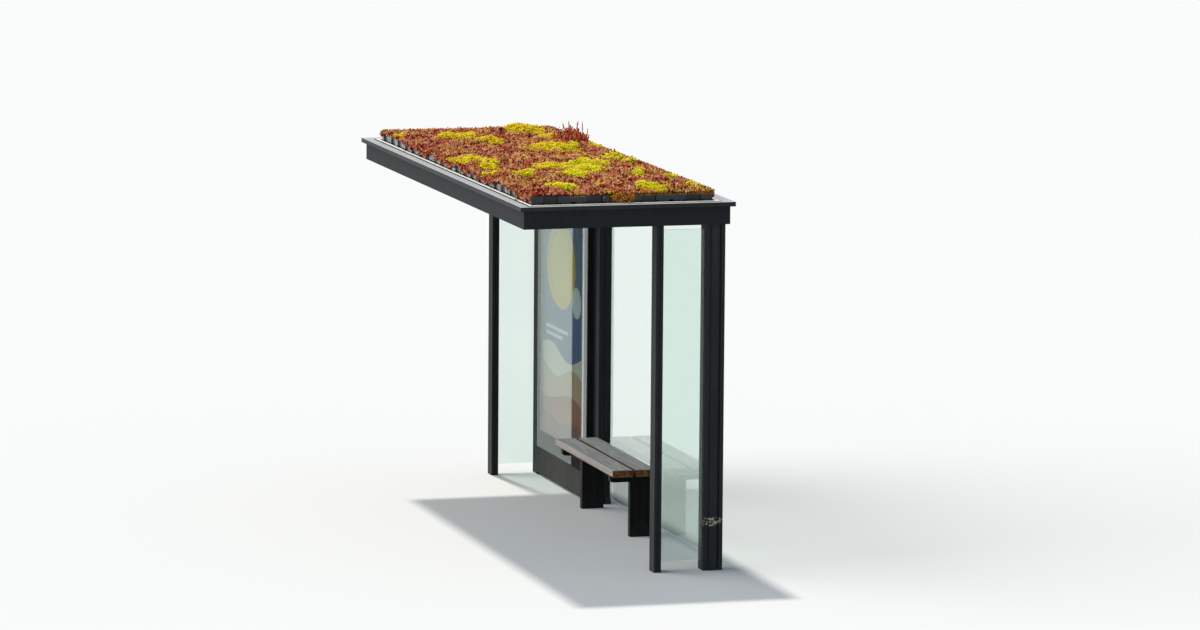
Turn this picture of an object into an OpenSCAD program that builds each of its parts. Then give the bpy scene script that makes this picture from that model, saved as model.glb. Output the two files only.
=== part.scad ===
// Bus shelter with a planted roof: two front posts, a glazed back wall with a
// poster case in one bay, glazed ends, a bench and a cantilevered flat roof
// that carries two rows of planting trays.
// Z is up, X runs along the shelter and the open side faces minus Y.
// The origin is at ground level under the centre of the roof.

/* [Overall] */
// Length over the outer faces of the end posts
shelter_l = 4234; // [3800:1:5000]
// Clear height from the ground to the underside of the fascia
clear_h = 2316; // [2200:1:2500]
// Depth of the roof over the faces of the fascia
roof_depth = 1412; // [1300:1:1600]
// Distance from the back faces of the end back posts to the fascia's outer face
roof_back = 28; // [20:1:80]
// Distance that the fascia stands past the end posts
roof_end = 13; // [13:1:60]

/* [Posts] */
// Width of a front post, along the shelter
front_post_w = 105; // [90:1:130]
// Depth of a front post
front_post_d = 50; // [40:1:70]
// Width of a back post, along the shelter
back_post_w = 110; // [90:1:130]
// Depth of a back post
back_post_d = 135; // [130:1:150]
// Depth of the middle back post
mid_post_d = 96; // [80:1:100]
// Distance that the middle back post's front face stands behind those of the end ones
mid_post_set = 58; // [48:1:60]
// Distance of the middle back post and the glazing bar from the middle of the shelter
mid_post_x = 657; // [600:1:700]
// Distance from the front faces of the front posts to those of the back posts
post_gap = 339; // [300:1:380]
// Wall of the hollow posts
post_wall = 4; // [3:0.5:6]
// Thickness of the plate that closes each foot
foot_t = 12; // [8:1:20]
// Width of the decorative groove in the sides of the posts
groove_w = 14; // [5:1:18]
// Depth of that groove
groove_d = 6; // [3:0.5:8]
// Distance from a back post's front face to the middle of its groove
groove_y = 35; // [25:1:45]

/* [Glazing] */
// Thickness of the panes
glass_t = 10; // [8:1:12]
// Height of the lower edge of the panes above the ground
glass_bottom = 70; // [40:1:120]
// Gap between the upper edge of the panes and the fascia's underside
glass_top_gap = 30; // [15:1:80]
// Depth of the channels that hold the panes
channel_d = 14; // [10:1:18]
// Thickness of the rubber between a pane and its channel
gasket_t = 2; // [1:0.5:3]
// Distance from a back post's front face to the middle of the back panes
pane_y = 102; // [95:1:110]
// Distance from the outer face of an end post to the middle of the end pane
end_pane_x = 22; // [18:1:40]
// Width of the slim bar between the two back panes, square in section
bar_w = 40; // [36:1:60]

/* [Poster case] */
// Depth of the poster case
case_d = 145; // [130:1:150]
// Wall of the poster case
case_wall = 3; // [2:0.5:5]
// Gap under the poster case
case_bottom = 15; // [5:1:60]
// Gap between the poster case and the fascia's underside
case_top_gap = 6; // [4:1:40]
// Height of the panel below the door
lower_panel_h = 186; // [120:1:260]
// Width of the frame behind the door's pane
door_frame_w = 62; // [40:1:80]
// Depth of the door and of the lower panel, pane included
door_d = 46; // [40:1:50]
// Joint between the door and the lower panel
door_joint = 5; // [2:1:8]
// Thickness of the door's pane, which covers the whole front of the door
door_glass_t = 6; // [4:1:8]
// Thickness of the poster board
board_t = 4; // [3:1:8]
// Gap between the door's pane and the poster board
board_gap = 20; // [12:1:25]
// Width of the rebate that the poster board lies in
board_rebate = 12; // [6:1:20]

/* [Roof] */
// Height of the fascia
fascia_h = 120; // [100:1:160]
// Thickness of the fascia's sheet
fascia_t = 4; // [3:0.5:6]
// Width of the fascia's bottom flange, web included
flange_w = 16; // [14:1:16]
// Thickness of the deck
deck_t = 20; // [15:1:30]
// Width of the cross beams
beam_w = 96; // [70:1:100]
// Wall of the cross beams
beam_wall = 3; // [2:0.5:5]
// Thickness of the ceiling panels
ceiling_t = 6; // [4:1:12]
// Gap between a ceiling panel and a beam
ceiling_gap = 1; // [0.5:0.5:4]

/* [Roof edging] */
// Distance that the edging stands past the fascia
edging_out = 30; // [20:1:50]
// Width of the edging
edging_w = 108; // [90:1:112]
// Height of the edging
edging_h = 30; // [24:1:45]
// Wall of the hollow edging
edging_wall = 3; // [2:0.5:4]
// Fall of the edging's top towards the deck
edging_fall = 3; // [1:0.5:5]
// Number of fine grooves along the edging's outer face
edging_grooves = 3; // [1:1:3]
// Width of one fine groove
edging_groove_w = 4; // [2:0.5:5]
// Depth of one fine groove
edging_groove_d = 2; // [1:0.5:3]
// Width of the inner lip of the edging
edging_lip_w = 28; // [20:1:36]
// Width of the channel between the edging's top and its lip
edging_seam_w = 8; // [5:1:12]
// Depth of that channel
edging_seam_d = 9; // [5:1:12]

/* [Planting trays] */
// Number of trays in a row along the roof
tray_count = 10; // [8:1:12]
// Height of a tray
tray_h = 80; // [65:1:95]
// Wall of a tray
tray_wall = 3; // [2:0.5:4]
// Height of the drained space under a tray's floor
tray_drain_h = 40; // [38:1:48]
// Clear strip between the edging and the trays at the ends of the roof
tray_margin_x = 50; // [30:1:90]
// Clear strip between the edging and the trays at the front and back
tray_margin_y = 8; // [4:1:40]
// Gap between two trays of a row
tray_gap = 2; // [1:0.5:5]
// Gap between the two rows of trays, which is filled with growing medium
row_gap = 110; // [60:1:140]
// Width of a recess in the side of a tray
recess_w = 98; // [80:1:105]
// Depth of such a recess
recess_d = 8; // [5:0.5:10]
// Width of a recess's slanted flank, seen from above
recess_flank = 6; // [3:0.5:10]
// Width of the drain arch in the middle of each side of a tray
arch_w = 50; // [36:1:56]
// Width of the small drain slots beside the recesses
drain_slot_w = 22; // [12:1:24]
// Height of those slots
drain_slot_h = 34; // [25:1:37]
// Least height of the plants above the trays
sedum_low = 6; // [3:1:20]
// Height that the mounds of plants add
sedum_mound = 34; // [20:1:60]
// Height that the clumps in flower add
sedum_clump = 22; // [10:1:40]
// Height that the clump of tall stalks adds
sedum_stalks = 70; // [40:1:110]
// Distance that the plants hang over the trays
sedum_out = 10; // [4:1:20]
// Width of the strip where the plants thin out towards the edges
sedum_fade = 90; // [50:1:150]

/* [Bench] */
// Length of the bench
bench_l = 1445; // [1200:1:1500]
// Distance of the bench's middle from the middle of the shelter
bench_x = 120; // [60:1:160]
// Height of the seat
seat_h = 480; // [420:1:520]
// Distance from the front faces of the front posts to the seat's front edge
bench_front = 83; // [75:1:95]
// Width of one plank
plank_w = 145; // [120:1:150]
// Thickness of the planks
plank_t = 48; // [35:1:60]
// Gap between the two planks
plank_gap = 22; // [10:1:30]
// Rounding along the planks' edges
plank_r = 7; // [4:1:12]
// Distance from an end of the bench to the middle of its leg
leg_inset = 125; // [90:1:240]
// Width of a leg, along the bench
leg_w = 48; // [40:1:70]
// Depth of a leg
leg_d = 157; // [120:1:200]
// Wall of the legs
leg_wall = 4; // [3:0.5:6]
// Height of the arms that carry the planks
arm_h = 50; // [30:1:60]
// Rounding of an arm's lower front corner
arm_r = 20; // [10:1:28]
// Distance that the seat's front edge stands past the arms
arm_back = 12; // [0:1:30]

/* [Hidden] */

$fn = 32;
eps = 0.01;

// Roof and the lines that everything else is set from
roof_l = shelter_l + 2 * roof_end;
ring_l = roof_l + 2 * edging_out;
ring_d = roof_depth + 2 * edging_out;
back_y = roof_depth / 2 - roof_back - back_post_d;
front_y = back_y - post_gap;
post_top = clear_h + fascia_t;
beam_h = fascia_h - fascia_t - deck_t;
roof_top = clear_h + fascia_h;
edging_in = edging_w - edging_out;

// Posts and bays
back_post_x = shelter_l / 2 - back_post_w / 2;
front_post_x = shelter_l / 2 - front_post_w / 2;
beam_end_x = front_post_x;
end_inner_x = back_post_x - back_post_w / 2;

// Glazing
channel_w = glass_t + 2 * gasket_t;
pane_seat = channel_d - gasket_t;
pane_h = clear_h - glass_top_gap - glass_bottom;

// Poster case, between the left and the middle back post
case_right = -mid_post_x - back_post_w / 2;
case_l = end_inner_x + case_right;
case_x = case_right - case_l / 2;
case_h = clear_h - case_top_gap - case_bottom;
door_h = case_h - lower_panel_h - door_joint;
door_z = case_bottom + lower_panel_h + door_joint;
sheet_t = 3;
panel_lip = 12;
board_clear = 1;

// Planting trays, inside the edging
field_l = roof_l - 2 * edging_in - 2 * tray_margin_x;
field_d = roof_depth - 2 * edging_in - 2 * tray_margin_y;
tray_w = (field_l - (tray_count - 1) * tray_gap) / tray_count;
tray_d = (field_d - row_gap) / 2;
row_y = (tray_d + row_gap) / 2;
tray_top = roof_top + tray_h;
medium_gap = 1;
// Share of a side's length from its middle to the middle of a recess
recess_place = 0.27;

// Bench
bench_y = front_y + bench_front;
leg_span = bench_l - 2 * leg_inset;
seat_d = 2 * plank_w + plank_gap;
arm_top = seat_h - plank_t;
leg_h = arm_top - arm_h;
arm_l = seat_d - arm_back;

// Rectangle with round corners, centred
module rounded_rect(w, h, r) {
    square([w - 2 * r, h], center = true);
    square([w, h - 2 * r], center = true);
    for (sx = [-1, 1], sy = [-1, 1])
        translate([sx * (w / 2 - r), sy * (h / 2 - r)]) circle(r);
}

// Notch cut into the right-hand side of a section at x, seen from above
module side_notch(x, y, deep, wide) {
    translate([x - deep, y - wide / 2]) square([deep + eps, wide]);
}

// Hollow section: the outline less the notches, with a cavity that keeps its
// wall behind each notch. A notch is [side, x or y, depth, width], where side
// 0 is plus X, 1 is plus Y, 2 is minus X and 3 is minus Y, and the second
// value is its place along that side from the middle of the section.
module hollow_section(w, d, wall, notches) {
    difference() {
        square([w, d], center = true);
        for (n = notches)
            notch_at(n, w, d, n[2], n[3]);
        difference() {
            square([w - 2 * wall, d - 2 * wall], center = true);
            for (n = notches)
                notch_at(n, w, d, n[2] + wall, n[3] + 2 * wall);
        }
    }
}

// One notch of hollow_section, turned to its side
module notch_at(n, w, d, deep, wide) {
    along = n[1];
    if (n[0] == 0) side_notch(w / 2, along, deep, wide);
    if (n[0] == 1) rotate(90) side_notch(d / 2, -along, deep, wide);
    if (n[0] == 2) rotate(180) side_notch(w / 2, -along, deep, wide);
    if (n[0] == 3) rotate(-90) side_notch(d / 2, along, deep, wide);
}

// Front post with a channel for the end pane in its back face; side is -1 or 1
module front_post(side) {
    notches = [
        [0, 0, groove_d, groove_w],
        [2, 0, groove_d, groove_w],
        [1, side * (front_post_w / 2 - end_pane_x), channel_d, channel_w]
    ];
    color([0.20, 0.21, 0.22])
    translate([side * front_post_x, front_y + front_post_d / 2, 0]) {
        linear_extrude(post_top) hollow_section(front_post_w, front_post_d, post_wall, notches);
        linear_extrude(foot_t) square([front_post_w - 2 * post_wall + eps,
            front_post_d - channel_d - 2 * post_wall], center = true);
    }
}

// Back post at an end, with channels for the back pane and the end pane; side
// is -1 or 1
module back_post(side) {
    groove_at = groove_y - back_post_d / 2;
    pane_at = pane_y - back_post_d / 2;
    notches = [
        [0, groove_at, groove_d, groove_w],
        [2, groove_at, groove_d, groove_w],
        [0, pane_at, channel_d, channel_w],
        [2, pane_at, channel_d, channel_w],
        [3, side * (back_post_w / 2 - end_pane_x), channel_d, channel_w]
    ];
    color([0.20, 0.21, 0.22])
    translate([side * back_post_x, back_y + back_post_d / 2, 0]) {
        linear_extrude(post_top) hollow_section(back_post_w, back_post_d, post_wall, notches);
        linear_extrude(foot_t)
            square([back_post_w - 2 * channel_d - 2 * post_wall,
                back_post_d - 2 * post_wall + eps], center = true);
    }
}

// Middle back post, set back behind the case's door and with one channel for
// a back pane; it ends under the fascia's flange
module mid_post() {
    notches = [[0, pane_y - mid_post_set - mid_post_d / 2, channel_d, channel_w]];
    color([0.20, 0.21, 0.22])
    translate([-mid_post_x, back_y + mid_post_set + mid_post_d / 2, 0]) {
        linear_extrude(clear_h) hollow_section(back_post_w, mid_post_d, post_wall, notches);
        linear_extrude(foot_t)
            square([back_post_w - 2 * channel_d - 2 * post_wall,
                mid_post_d - 2 * post_wall + eps], center = true);
    }
}

// Slim bar between the two back panes
module glazing_bar() {
    color([0.20, 0.21, 0.22])
    translate([mid_post_x, back_y + pane_y, 0])
        linear_extrude(post_top)
            difference() {
                square(bar_w, center = true);
                side_notch(bar_w / 2, 0, channel_d, channel_w);
                rotate(180) side_notch(bar_w / 2, 0, channel_d, channel_w);
            }
}

// Upright pane of a given width along X
module pane(w) {
    color([0.75, 0.88, 0.84, 0.35])
    translate([-w / 2, -glass_t / 2, 0]) cube([w, glass_t, pane_h]);
}

// Rubber in one channel: the floor of the channel is at x = 0 and it opens to plus X
module gasket() {
    color([0.05, 0.05, 0.05])
    linear_extrude(pane_h)
        difference() {
            translate([0, -channel_w / 2]) square([channel_d, channel_w]);
            translate([gasket_t, -glass_t / 2]) square([channel_d, glass_t]);
        }
}

// Pane or gaskets of one end; side is -1 or 1
module end_pane_place(side) {
    translate([side * (shelter_l / 2 - end_pane_x), 0, glass_bottom]) children();
}

end_clear = back_y - front_y - front_post_d;

module end_glass(side) {
    end_pane_place(side)
        translate([0, front_y + front_post_d + end_clear / 2, 0])
            rotate(90) pane(end_clear + 2 * pane_seat);
}

module end_gaskets(side) {
    end_pane_place(side) {
        translate([0, front_y + front_post_d - channel_d, 0]) rotate(90) gasket();
        translate([0, back_y + channel_d, 0]) rotate(-90) gasket();
    }
}

// Left and right limits of the clear width of a back bay: 0 is the middle bay
// and 1 is the right-hand bay
function bay_left(i) = i == 0 ? -mid_post_x + back_post_w / 2 : mid_post_x + bar_w / 2;
function bay_right(i) = i == 0 ? mid_post_x - bar_w / 2 : end_inner_x;

module back_glass(i) {
    translate([(bay_left(i) + bay_right(i)) / 2, back_y + pane_y, glass_bottom])
        pane(bay_right(i) - bay_left(i) + 2 * pane_seat);
}

module back_gaskets(i) {
    translate([0, back_y + pane_y, glass_bottom]) {
        translate([bay_left(i) - channel_d, 0, 0]) gasket();
        translate([bay_right(i) + channel_d, 0, 0]) rotate(180) gasket();
    }
}

// Upright rectangle in the plane of the case's front, centred on the case and
// drawn y into its depth, from z upwards
module case_slab(w, h, y, z, t) {
    translate([case_x - w / 2, back_y + y, z]) cube([w, t, h]);
}

// Poster case: a box of sheet metal, open at the front and the back
module case_body() {
    depth = case_d - door_d - sheet_t;
    color([0.24, 0.25, 0.26])
    difference() {
        case_slab(case_l, case_h, door_d, case_bottom, depth);
        case_slab(case_l - 2 * case_wall, case_h - 2 * case_wall, door_d - eps,
            case_bottom + case_wall, depth + 2 * eps);
    }
}

module case_back_panel() {
    color([0.24, 0.25, 0.26])
    case_slab(case_l, case_h, case_d - sheet_t, case_bottom, sheet_t);
}

// Panel below the door: a folded tray of sheet metal with a lip around its back
module case_lower_panel() {
    color([0.27, 0.28, 0.29])
    difference() {
        case_slab(case_l, lower_panel_h, 0, case_bottom, door_d);
        case_slab(case_l - 2 * sheet_t, lower_panel_h - 2 * sheet_t, sheet_t,
            case_bottom + sheet_t, door_d - 2 * sheet_t);
        case_slab(case_l - 2 * panel_lip, lower_panel_h - 2 * panel_lip, sheet_t,
            case_bottom + panel_lip, door_d);
    }
}

// Door frame behind the pane, with a rebate at its back for the poster board
module case_door_frame() {
    inner_l = case_l - 2 * door_frame_w;
    inner_h = door_h - 2 * door_frame_w;
    board_y = door_glass_t + board_gap;
    color([0.10, 0.11, 0.12])
    difference() {
        case_slab(case_l, door_h, door_glass_t, door_z, door_d - door_glass_t);
        case_slab(inner_l, inner_h, 0, door_z + door_frame_w, 2 * door_d);
        case_slab(inner_l + 2 * board_rebate, inner_h + 2 * board_rebate, board_y,
            door_z + door_frame_w - board_rebate, door_d);
    }
}

// Pane that covers the whole front of the door
module case_door_glass() {
    color([0.70, 0.80, 0.80, 0.35])
    case_slab(case_l, door_h, 0, door_z, door_glass_t);
}

// Board that carries the poster, in the rebate of the door frame
module poster_board() {
    edge = door_frame_w - board_rebate + board_clear;
    color([0.85, 0.87, 0.88])
    case_slab(case_l - 2 * edge, door_h - 2 * edge, door_glass_t + board_gap,
        door_z + edge, board_t);
}

// One side of a rectangular ring: the section, with x inward from the outer
// face and y up, runs along X and is mitred at both ends. length is over the
// outer corners, and deep is at least the width of the section.
module mitred_side(length, deep, tall) {
    intersection() {
        rotate([90, 0, 90]) linear_extrude(length, center = true) children();
        linear_extrude(tall, center = true)
            polygon([
                [-length / 2, 0], [length / 2, 0],
                [length / 2 - deep, deep], [-length / 2 + deep, deep]
            ]);
    }
}

// Puts a side of a ring in its place: turn 0 is the front, 1 the right-hand
// end, 2 the back and 3 the left-hand end
module ring_place(turn, l, d) {
    out = turn % 2 == 0 ? d / 2 : l / 2;
    rotate(90 * turn) translate([0, -out, 0]) children();
}

// Section of the fascia: a web with a short flange at the bottom
module fascia_section() {
    square([fascia_t, fascia_h]);
    square([flange_w, fascia_t]);
}

module fascia(turn) {
    length = turn % 2 == 0 ? roof_l : roof_depth;
    color([0.22, 0.23, 0.24])
    translate([0, 0, clear_h])
        ring_place(turn, roof_l, roof_depth)
            mitred_side(length, flange_w, 2 * fascia_h + 2)
                fascia_section();
}

// Section of the edging: a hollow profile with fine grooves in its outer face,
// a top that falls inwards, a channel and a level lip along its inner edge
module edging_section() {
    seam_x = edging_w - edging_lip_w - edging_seam_w;
    lip_x = edging_w - edging_lip_w;
    inner_h = edging_h - edging_fall;
    seam_h = inner_h - edging_seam_d;
    pitch = edging_h / (edging_grooves + 1);
    deep_wall = edging_wall + edging_groove_d;
    difference() {
        polygon([
            [0, 0], [edging_w, 0], [edging_w, edging_h], [lip_x, edging_h], [lip_x, seam_h],
            [seam_x, seam_h], [seam_x, inner_h], [0, edging_h]
        ]);
        polygon([
            [deep_wall, edging_wall],
            [edging_w - edging_wall, edging_wall],
            [edging_w - edging_wall, edging_h - edging_wall],
            [lip_x + edging_wall, edging_h - edging_wall],
            [lip_x + edging_wall, seam_h - edging_wall],
            [seam_x - edging_wall, seam_h - edging_wall],
            [seam_x - edging_wall, inner_h - edging_wall],
            [deep_wall, edging_h - edging_wall]
        ]);
        for (i = [1 : edging_grooves])
            translate([-eps, i * pitch - edging_groove_w / 2])
                square([edging_groove_d + eps, edging_groove_w]);
    }
}

module edging(turn) {
    length = turn % 2 == 0 ? ring_l : ring_d;
    color([0.62, 0.68, 0.74])
    translate([0, 0, roof_top])
        ring_place(turn, ring_l, ring_d)
            mitred_side(length, edging_w, 2 * edging_h + 2)
                edging_section();
}

// Hollow cross beam that runs from the front fascia to the back one
module roof_beam(x) {
    span = roof_depth - 2 * fascia_t;
    color([0.22, 0.23, 0.24])
    translate([x, 0, post_top + beam_h / 2])
        rotate([90, 0, 0])
            linear_extrude(span, center = true)
                difference() {
                    square([beam_w, beam_h], center = true);
                    square([beam_w - 2 * beam_wall, beam_h - 2 * beam_wall], center = true);
                }
}

module roof_deck() {
    color([0.78, 0.75, 0.66])
    translate([0, 0, roof_top - deck_t / 2])
        cube([roof_l - 2 * fascia_t, roof_depth - 2 * fascia_t, deck_t], center = true);
}

// Ceiling panels that lie on the fascia's flanges between the beams
module ceiling_panels() {
    xs = [-beam_end_x, -mid_post_x, mid_post_x, beam_end_x];
    color([0.55, 0.57, 0.58])
    for (i = [0 : 2]) {
        left = xs[i] + beam_w / 2 + ceiling_gap;
        right = xs[i + 1] - beam_w / 2 - ceiling_gap;
        difference() {
            translate([left, -roof_depth / 2 + fascia_t + ceiling_gap, post_top])
                cube([right - left, roof_depth - 2 * fascia_t - 2 * ceiling_gap, ceiling_t]);
            for (side = [-1, 1]) {
                post_hole(side * back_post_x, back_y, back_post_w, back_post_d);
                post_hole(side * front_post_x, front_y, front_post_w, front_post_d);
            }
        }
    }
}

// Room in the ceiling panels for a post of w by d with its middle at x and its
// front face at y
module post_hole(x, y, w, d) {
    translate([x - w / 2 - ceiling_gap, y - ceiling_gap, clear_h])
        cube([w + 2 * ceiling_gap, d + 2 * ceiling_gap, beam_h]);
}

// Middles of the two recesses in a side of a tray
function recess_middles(length) = [length * (0.5 - recess_place), length * (0.5 + recess_place)];

// Points along one side of a tray's outline that is inset from it, from its
// start to just before its end: the run goes along plus X with the inside of
// the tray to its left, and two recesses step inwards with slanted flanks
function recessed_side(length, inset) =
    let (half = recess_w / 2)
    concat([[inset, inset]], [
        for (m = recess_middles(length)) each [
            [m - half, inset],
            [m - half + recess_flank, inset + recess_d],
            [m + half - recess_flank, inset + recess_d],
            [m + half, inset]
        ]
    ]);

// Points turned by quarter turns and moved
function placed(points, turn, dx, dy) = [
    for (p = points)
        turn == 0 ? [p[0] + dx, p[1] + dy]
        : turn == 1 ? [-p[1] + dx, p[0] + dy]
        : turn == 2 ? [-p[0] + dx, -p[1] + dy]
        : [p[1] + dx, -p[0] + dy]
];

// Outline of a tray of w by d, centred, inset by a wall
function tray_outline(w, d, inset) = concat(
    placed(recessed_side(w, inset), 0, -w / 2, -d / 2),
    placed(recessed_side(d, inset), 1, w / 2, -d / 2),
    placed(recessed_side(w, inset), 2, w / 2, d / 2),
    placed(recessed_side(d, inset), 3, -w / 2, d / 2)
);

// Drain openings through two opposite sides of a tray, cut along Y: an arch in
// the middle and a slot beside each flank of the recesses
module drain_cut(w, d) {
    arch_r = arch_w / 2;
    slot_off = recess_w / 2 + drain_slot_w / 2;
    rotate([90, 0, 0])
        linear_extrude(d + 2 * eps, center = true) {
            square([arch_w, 2 * (tray_drain_h - arch_r)], center = true);
            translate([0, tray_drain_h - arch_r]) circle(arch_r);
            for (m = recess_middles(w), s = [-1, 1])
                translate([m - w / 2 + s * slot_off, 0])
                    square([drain_slot_w, 2 * drain_slot_h], center = true);
        }
}

// Open planting tray: castellated walls around a raised floor, with drain
// openings in the skirt below it
module tray() {
    floor_top = tray_drain_h + tray_wall;
    difference() {
        linear_extrude(tray_h) polygon(tray_outline(tray_w, tray_d, 0));
        translate([0, 0, floor_top])
            linear_extrude(tray_h) polygon(tray_outline(tray_w, tray_d, tray_wall));
        translate([0, 0, -eps])
            linear_extrude(tray_drain_h + eps) polygon(tray_outline(tray_w, tray_d, tray_wall));
        drain_cut(tray_w, tray_d);
        rotate(90) drain_cut(tray_d, tray_w);
    }
}

// Places one child per tray of a row; side is -1 for the front row
module tray_places(side) {
    for (i = [0 : tray_count - 1])
        translate([(i - (tray_count - 1) / 2) * (tray_w + tray_gap), side * row_y, roof_top])
            children();
}

module tray_row(side) {
    color([0.07, 0.07, 0.07]) tray_places(side) tray();
}

// Growing medium: a block on the floor of each tray, up to its rim, and the
// fill between the two rows
module growing_medium() {
    inset = 2 * (tray_wall + recess_d + medium_gap);
    floor_top = tray_drain_h + tray_wall;
    color([0.25, 0.18, 0.13]) {
        for (side = [-1, 1])
            tray_places(side)
                translate([inset / 2 - tray_w / 2, inset / 2 - tray_d / 2, floor_top])
                    cube([tray_w - inset, tray_d - inset, tray_h - floor_top]);
        translate([-field_l / 2, medium_gap - row_gap / 2, roof_top])
            cube([field_l, row_gap - 2 * medium_gap, tray_h]);
    }
}

// Clumps in flower on the roof: the x, y and half-width of each
clumps = [
    [-1790, 390, 130], [-1440, -240, 120], [-1140, -60, 80], [-610, 260, 130], [-40, 500, 80],
    [120, -530, 140], [350, 530, 70], [440, -460, 90], [470, -80, 100], [630, 110, 170],
    [790, -560, 80], [950, -380, 90], [1060, 400, 100], [1340, 540, 80], [1740, -340, 120],
    [1770, 570, 60], [1860, 240, 100]
];
// The clump of tall stalks: its x, y and half-width
stalks = [-1180, 520, 130];
// Share of a clump's half-width that it is longer along the roof
clump_stretch = 1.5;

// Height of the plants above the trays, in the same units as the sizes: a
// lattice of random heights that is smoothed between its points, with the
// clumps added, less a fall towards the edges
lattice_step = 125;
lattice_nx = ceil(field_l / lattice_step) + 2;
lattice_ny = ceil(field_d / lattice_step) + 2;
lattice_seed = 11;
function smooth(t) = t * t * (3 - 2 * t);
function mixed(a, b, t) = a + (b - a) * t;
function lattice_height(r, x, y) =
    let (
        u = (x + field_l / 2) / lattice_step + 0.5, v = (y + field_d / 2) / lattice_step + 0.5,
        i = floor(u), j = floor(v), fx = smooth(u - i), fy = smooth(v - j), at = j * lattice_nx + i
    )
    mixed(mixed(r[at], r[at + 1], fx), mixed(r[at + lattice_nx], r[at + lattice_nx + 1], fx), fy);
function bump(x, y, c) =
    let (dx = (x - c[0]) / (c[2] * clump_stretch), dy = (y - c[1]) / c[2])
    smooth(max(0, 1 - sqrt(dx * dx + dy * dy)));
function edge_fade(x, y) =
    let (inside = min(field_l / 2 - abs(x), field_d / 2 - abs(y)) + sedum_out)
    smooth(min(1, max(0, inside / sedum_fade)));
function plant_height(r, x, y) =
    sedum_low + edge_fade(x, y) * (
        sedum_mound * lattice_height(r, x, y)
        + sedum_clump * min(1, sqrt(max([for (c = clumps) bump(x, y, c)])))
        + sedum_stalks * bump(x, y, stalks)
    );

// Closed solid of the plants over one row of trays, from the outer edge to the
// middle of the roof: a grid of heights over a flat underside
mat_nx = 96;
mat_ny = 15;
module sedum(side) {
    r = rands(0, 1, lattice_nx * lattice_ny, lattice_seed);
    row = mat_nx + 1;
    mat_l = field_l + 2 * sedum_out;
    mat_d = field_d / 2 + sedum_out;
    middle_y = side * mat_d / 2;
    top = [
        for (j = [0 : mat_ny], i = [0 : mat_nx])
            let (x = (i / mat_nx - 0.5) * mat_l, y = (j / mat_ny - 0.5) * mat_d + middle_y)
            [x, y, tray_top + plant_height(r, x, y)]
    ];
    rim = concat(
        [for (i = [0 : mat_nx]) i],
        [for (j = [1 : mat_ny]) j * row + mat_nx],
        [for (i = [1 : mat_nx]) mat_ny * row + mat_nx - i],
        [for (j = [1 : mat_ny - 1]) (mat_ny - j) * row]
    );
    n = len(rim);
    base = len(top);
    under = [for (k = rim) [top[k][0], top[k][1], tray_top]];
    faces = concat(
        [
            for (j = [0 : mat_ny - 1], i = [0 : mat_nx - 1], half = [0, 1])
                let (a = j * row + i)
                half == 0 ? [a, a + row, a + row + 1] : [a, a + row + 1, a + 1]
        ],
        [
            for (k = [0 : n - 1], half = [0, 1])
                let (m = (k + 1) % n)
                half == 0 ? [rim[k], rim[m], base + m] : [rim[k], base + m, base + k]
        ],
        [for (k = [0 : n - 1]) [base + n, base + k, base + (k + 1) % n]]
    );
    color([0.55, 0.30, 0.22]) polyhedron(concat(top, under, [[0, middle_y, tray_top]]), faces);
}

// Seat plank with rounded edges; row is 0 for the front one
module bench_plank(row) {
    color([0.56, 0.50, 0.45])
    translate([bench_x, bench_y + plank_w / 2 + row * (plank_w + plank_gap), seat_h - plank_t / 2])
        rotate([90, 0, 90])
            linear_extrude(bench_l, center = true)
                rounded_rect(plank_w, plank_t, plank_r);
}

// Hollow leg under the back of the seat, with a closed foot
module bench_leg(side) {
    color([0.05, 0.05, 0.05])
    translate([bench_x + side * leg_span / 2, bench_y + seat_d - leg_d / 2, 0]) {
        linear_extrude(leg_h)
            difference() {
                square([leg_w, leg_d], center = true);
                square([leg_w - 2 * leg_wall, leg_d - 2 * leg_wall], center = true);
            }
        linear_extrude(foot_t) square([leg_w - leg_wall, leg_d - leg_wall], center = true);
    }
}

// Arm that carries the planks: it stands on the leg and reaches forward, with
// its lower front corner rounded
module bench_arm(side) {
    color([0.05, 0.05, 0.05])
    translate([bench_x + side * leg_span / 2, bench_y + arm_back, leg_h])
        rotate([90, 0, 90])
            linear_extrude(leg_w, center = true)
                difference() {
                    square([arm_l, arm_h]);
                    difference() {
                        translate([-eps, -eps]) square(arm_r + eps);
                        translate([arm_r, arm_r]) circle(arm_r);
                    }
                }
}

front_post(-1);  // front_post_left
front_post(1);  // front_post_right
back_post(-1);  // back_post_left
mid_post();  // back_post_mid
back_post(1);  // back_post_right
glazing_bar();
end_glass(-1);  // end_glass_left
end_glass(1);  // end_glass_right
back_glass(0);  // back_glass_mid
back_glass(1);  // back_glass_right
end_gaskets(-1);  // end_gaskets_left
end_gaskets(1);  // end_gaskets_right
back_gaskets(0);  // back_gaskets_mid
back_gaskets(1);  // back_gaskets_right
case_body();
case_back_panel();
case_lower_panel();
case_door_frame();
case_door_glass();
poster_board();
fascia(0);  // fascia_front
fascia(1);  // fascia_right
fascia(2);  // fascia_back
fascia(3);  // fascia_left
edging(0);  // edging_front
edging(1);  // edging_right
edging(2);  // edging_back
edging(3);  // edging_left
roof_beam(-beam_end_x);  // roof_beam_left
roof_beam(-mid_post_x);  // roof_beam_mid_left
roof_beam(mid_post_x);  // roof_beam_mid_right
roof_beam(beam_end_x);  // roof_beam_right
roof_deck();
ceiling_panels();
tray_row(-1);  // tray_row_front
tray_row(1);  // tray_row_back
growing_medium();
sedum(-1);  // sedum_front
sedum(1);  // sedum_back
bench_plank(0);  // bench_plank_front
bench_plank(1);  // bench_plank_back
bench_leg(-1);  // bench_leg_left
bench_leg(1);  // bench_leg_right
bench_arm(-1);  // bench_arm_left
bench_arm(1);  // bench_arm_right
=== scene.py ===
import math

import bpy
import numpy as np
from mathutils import Matrix, Vector


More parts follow.
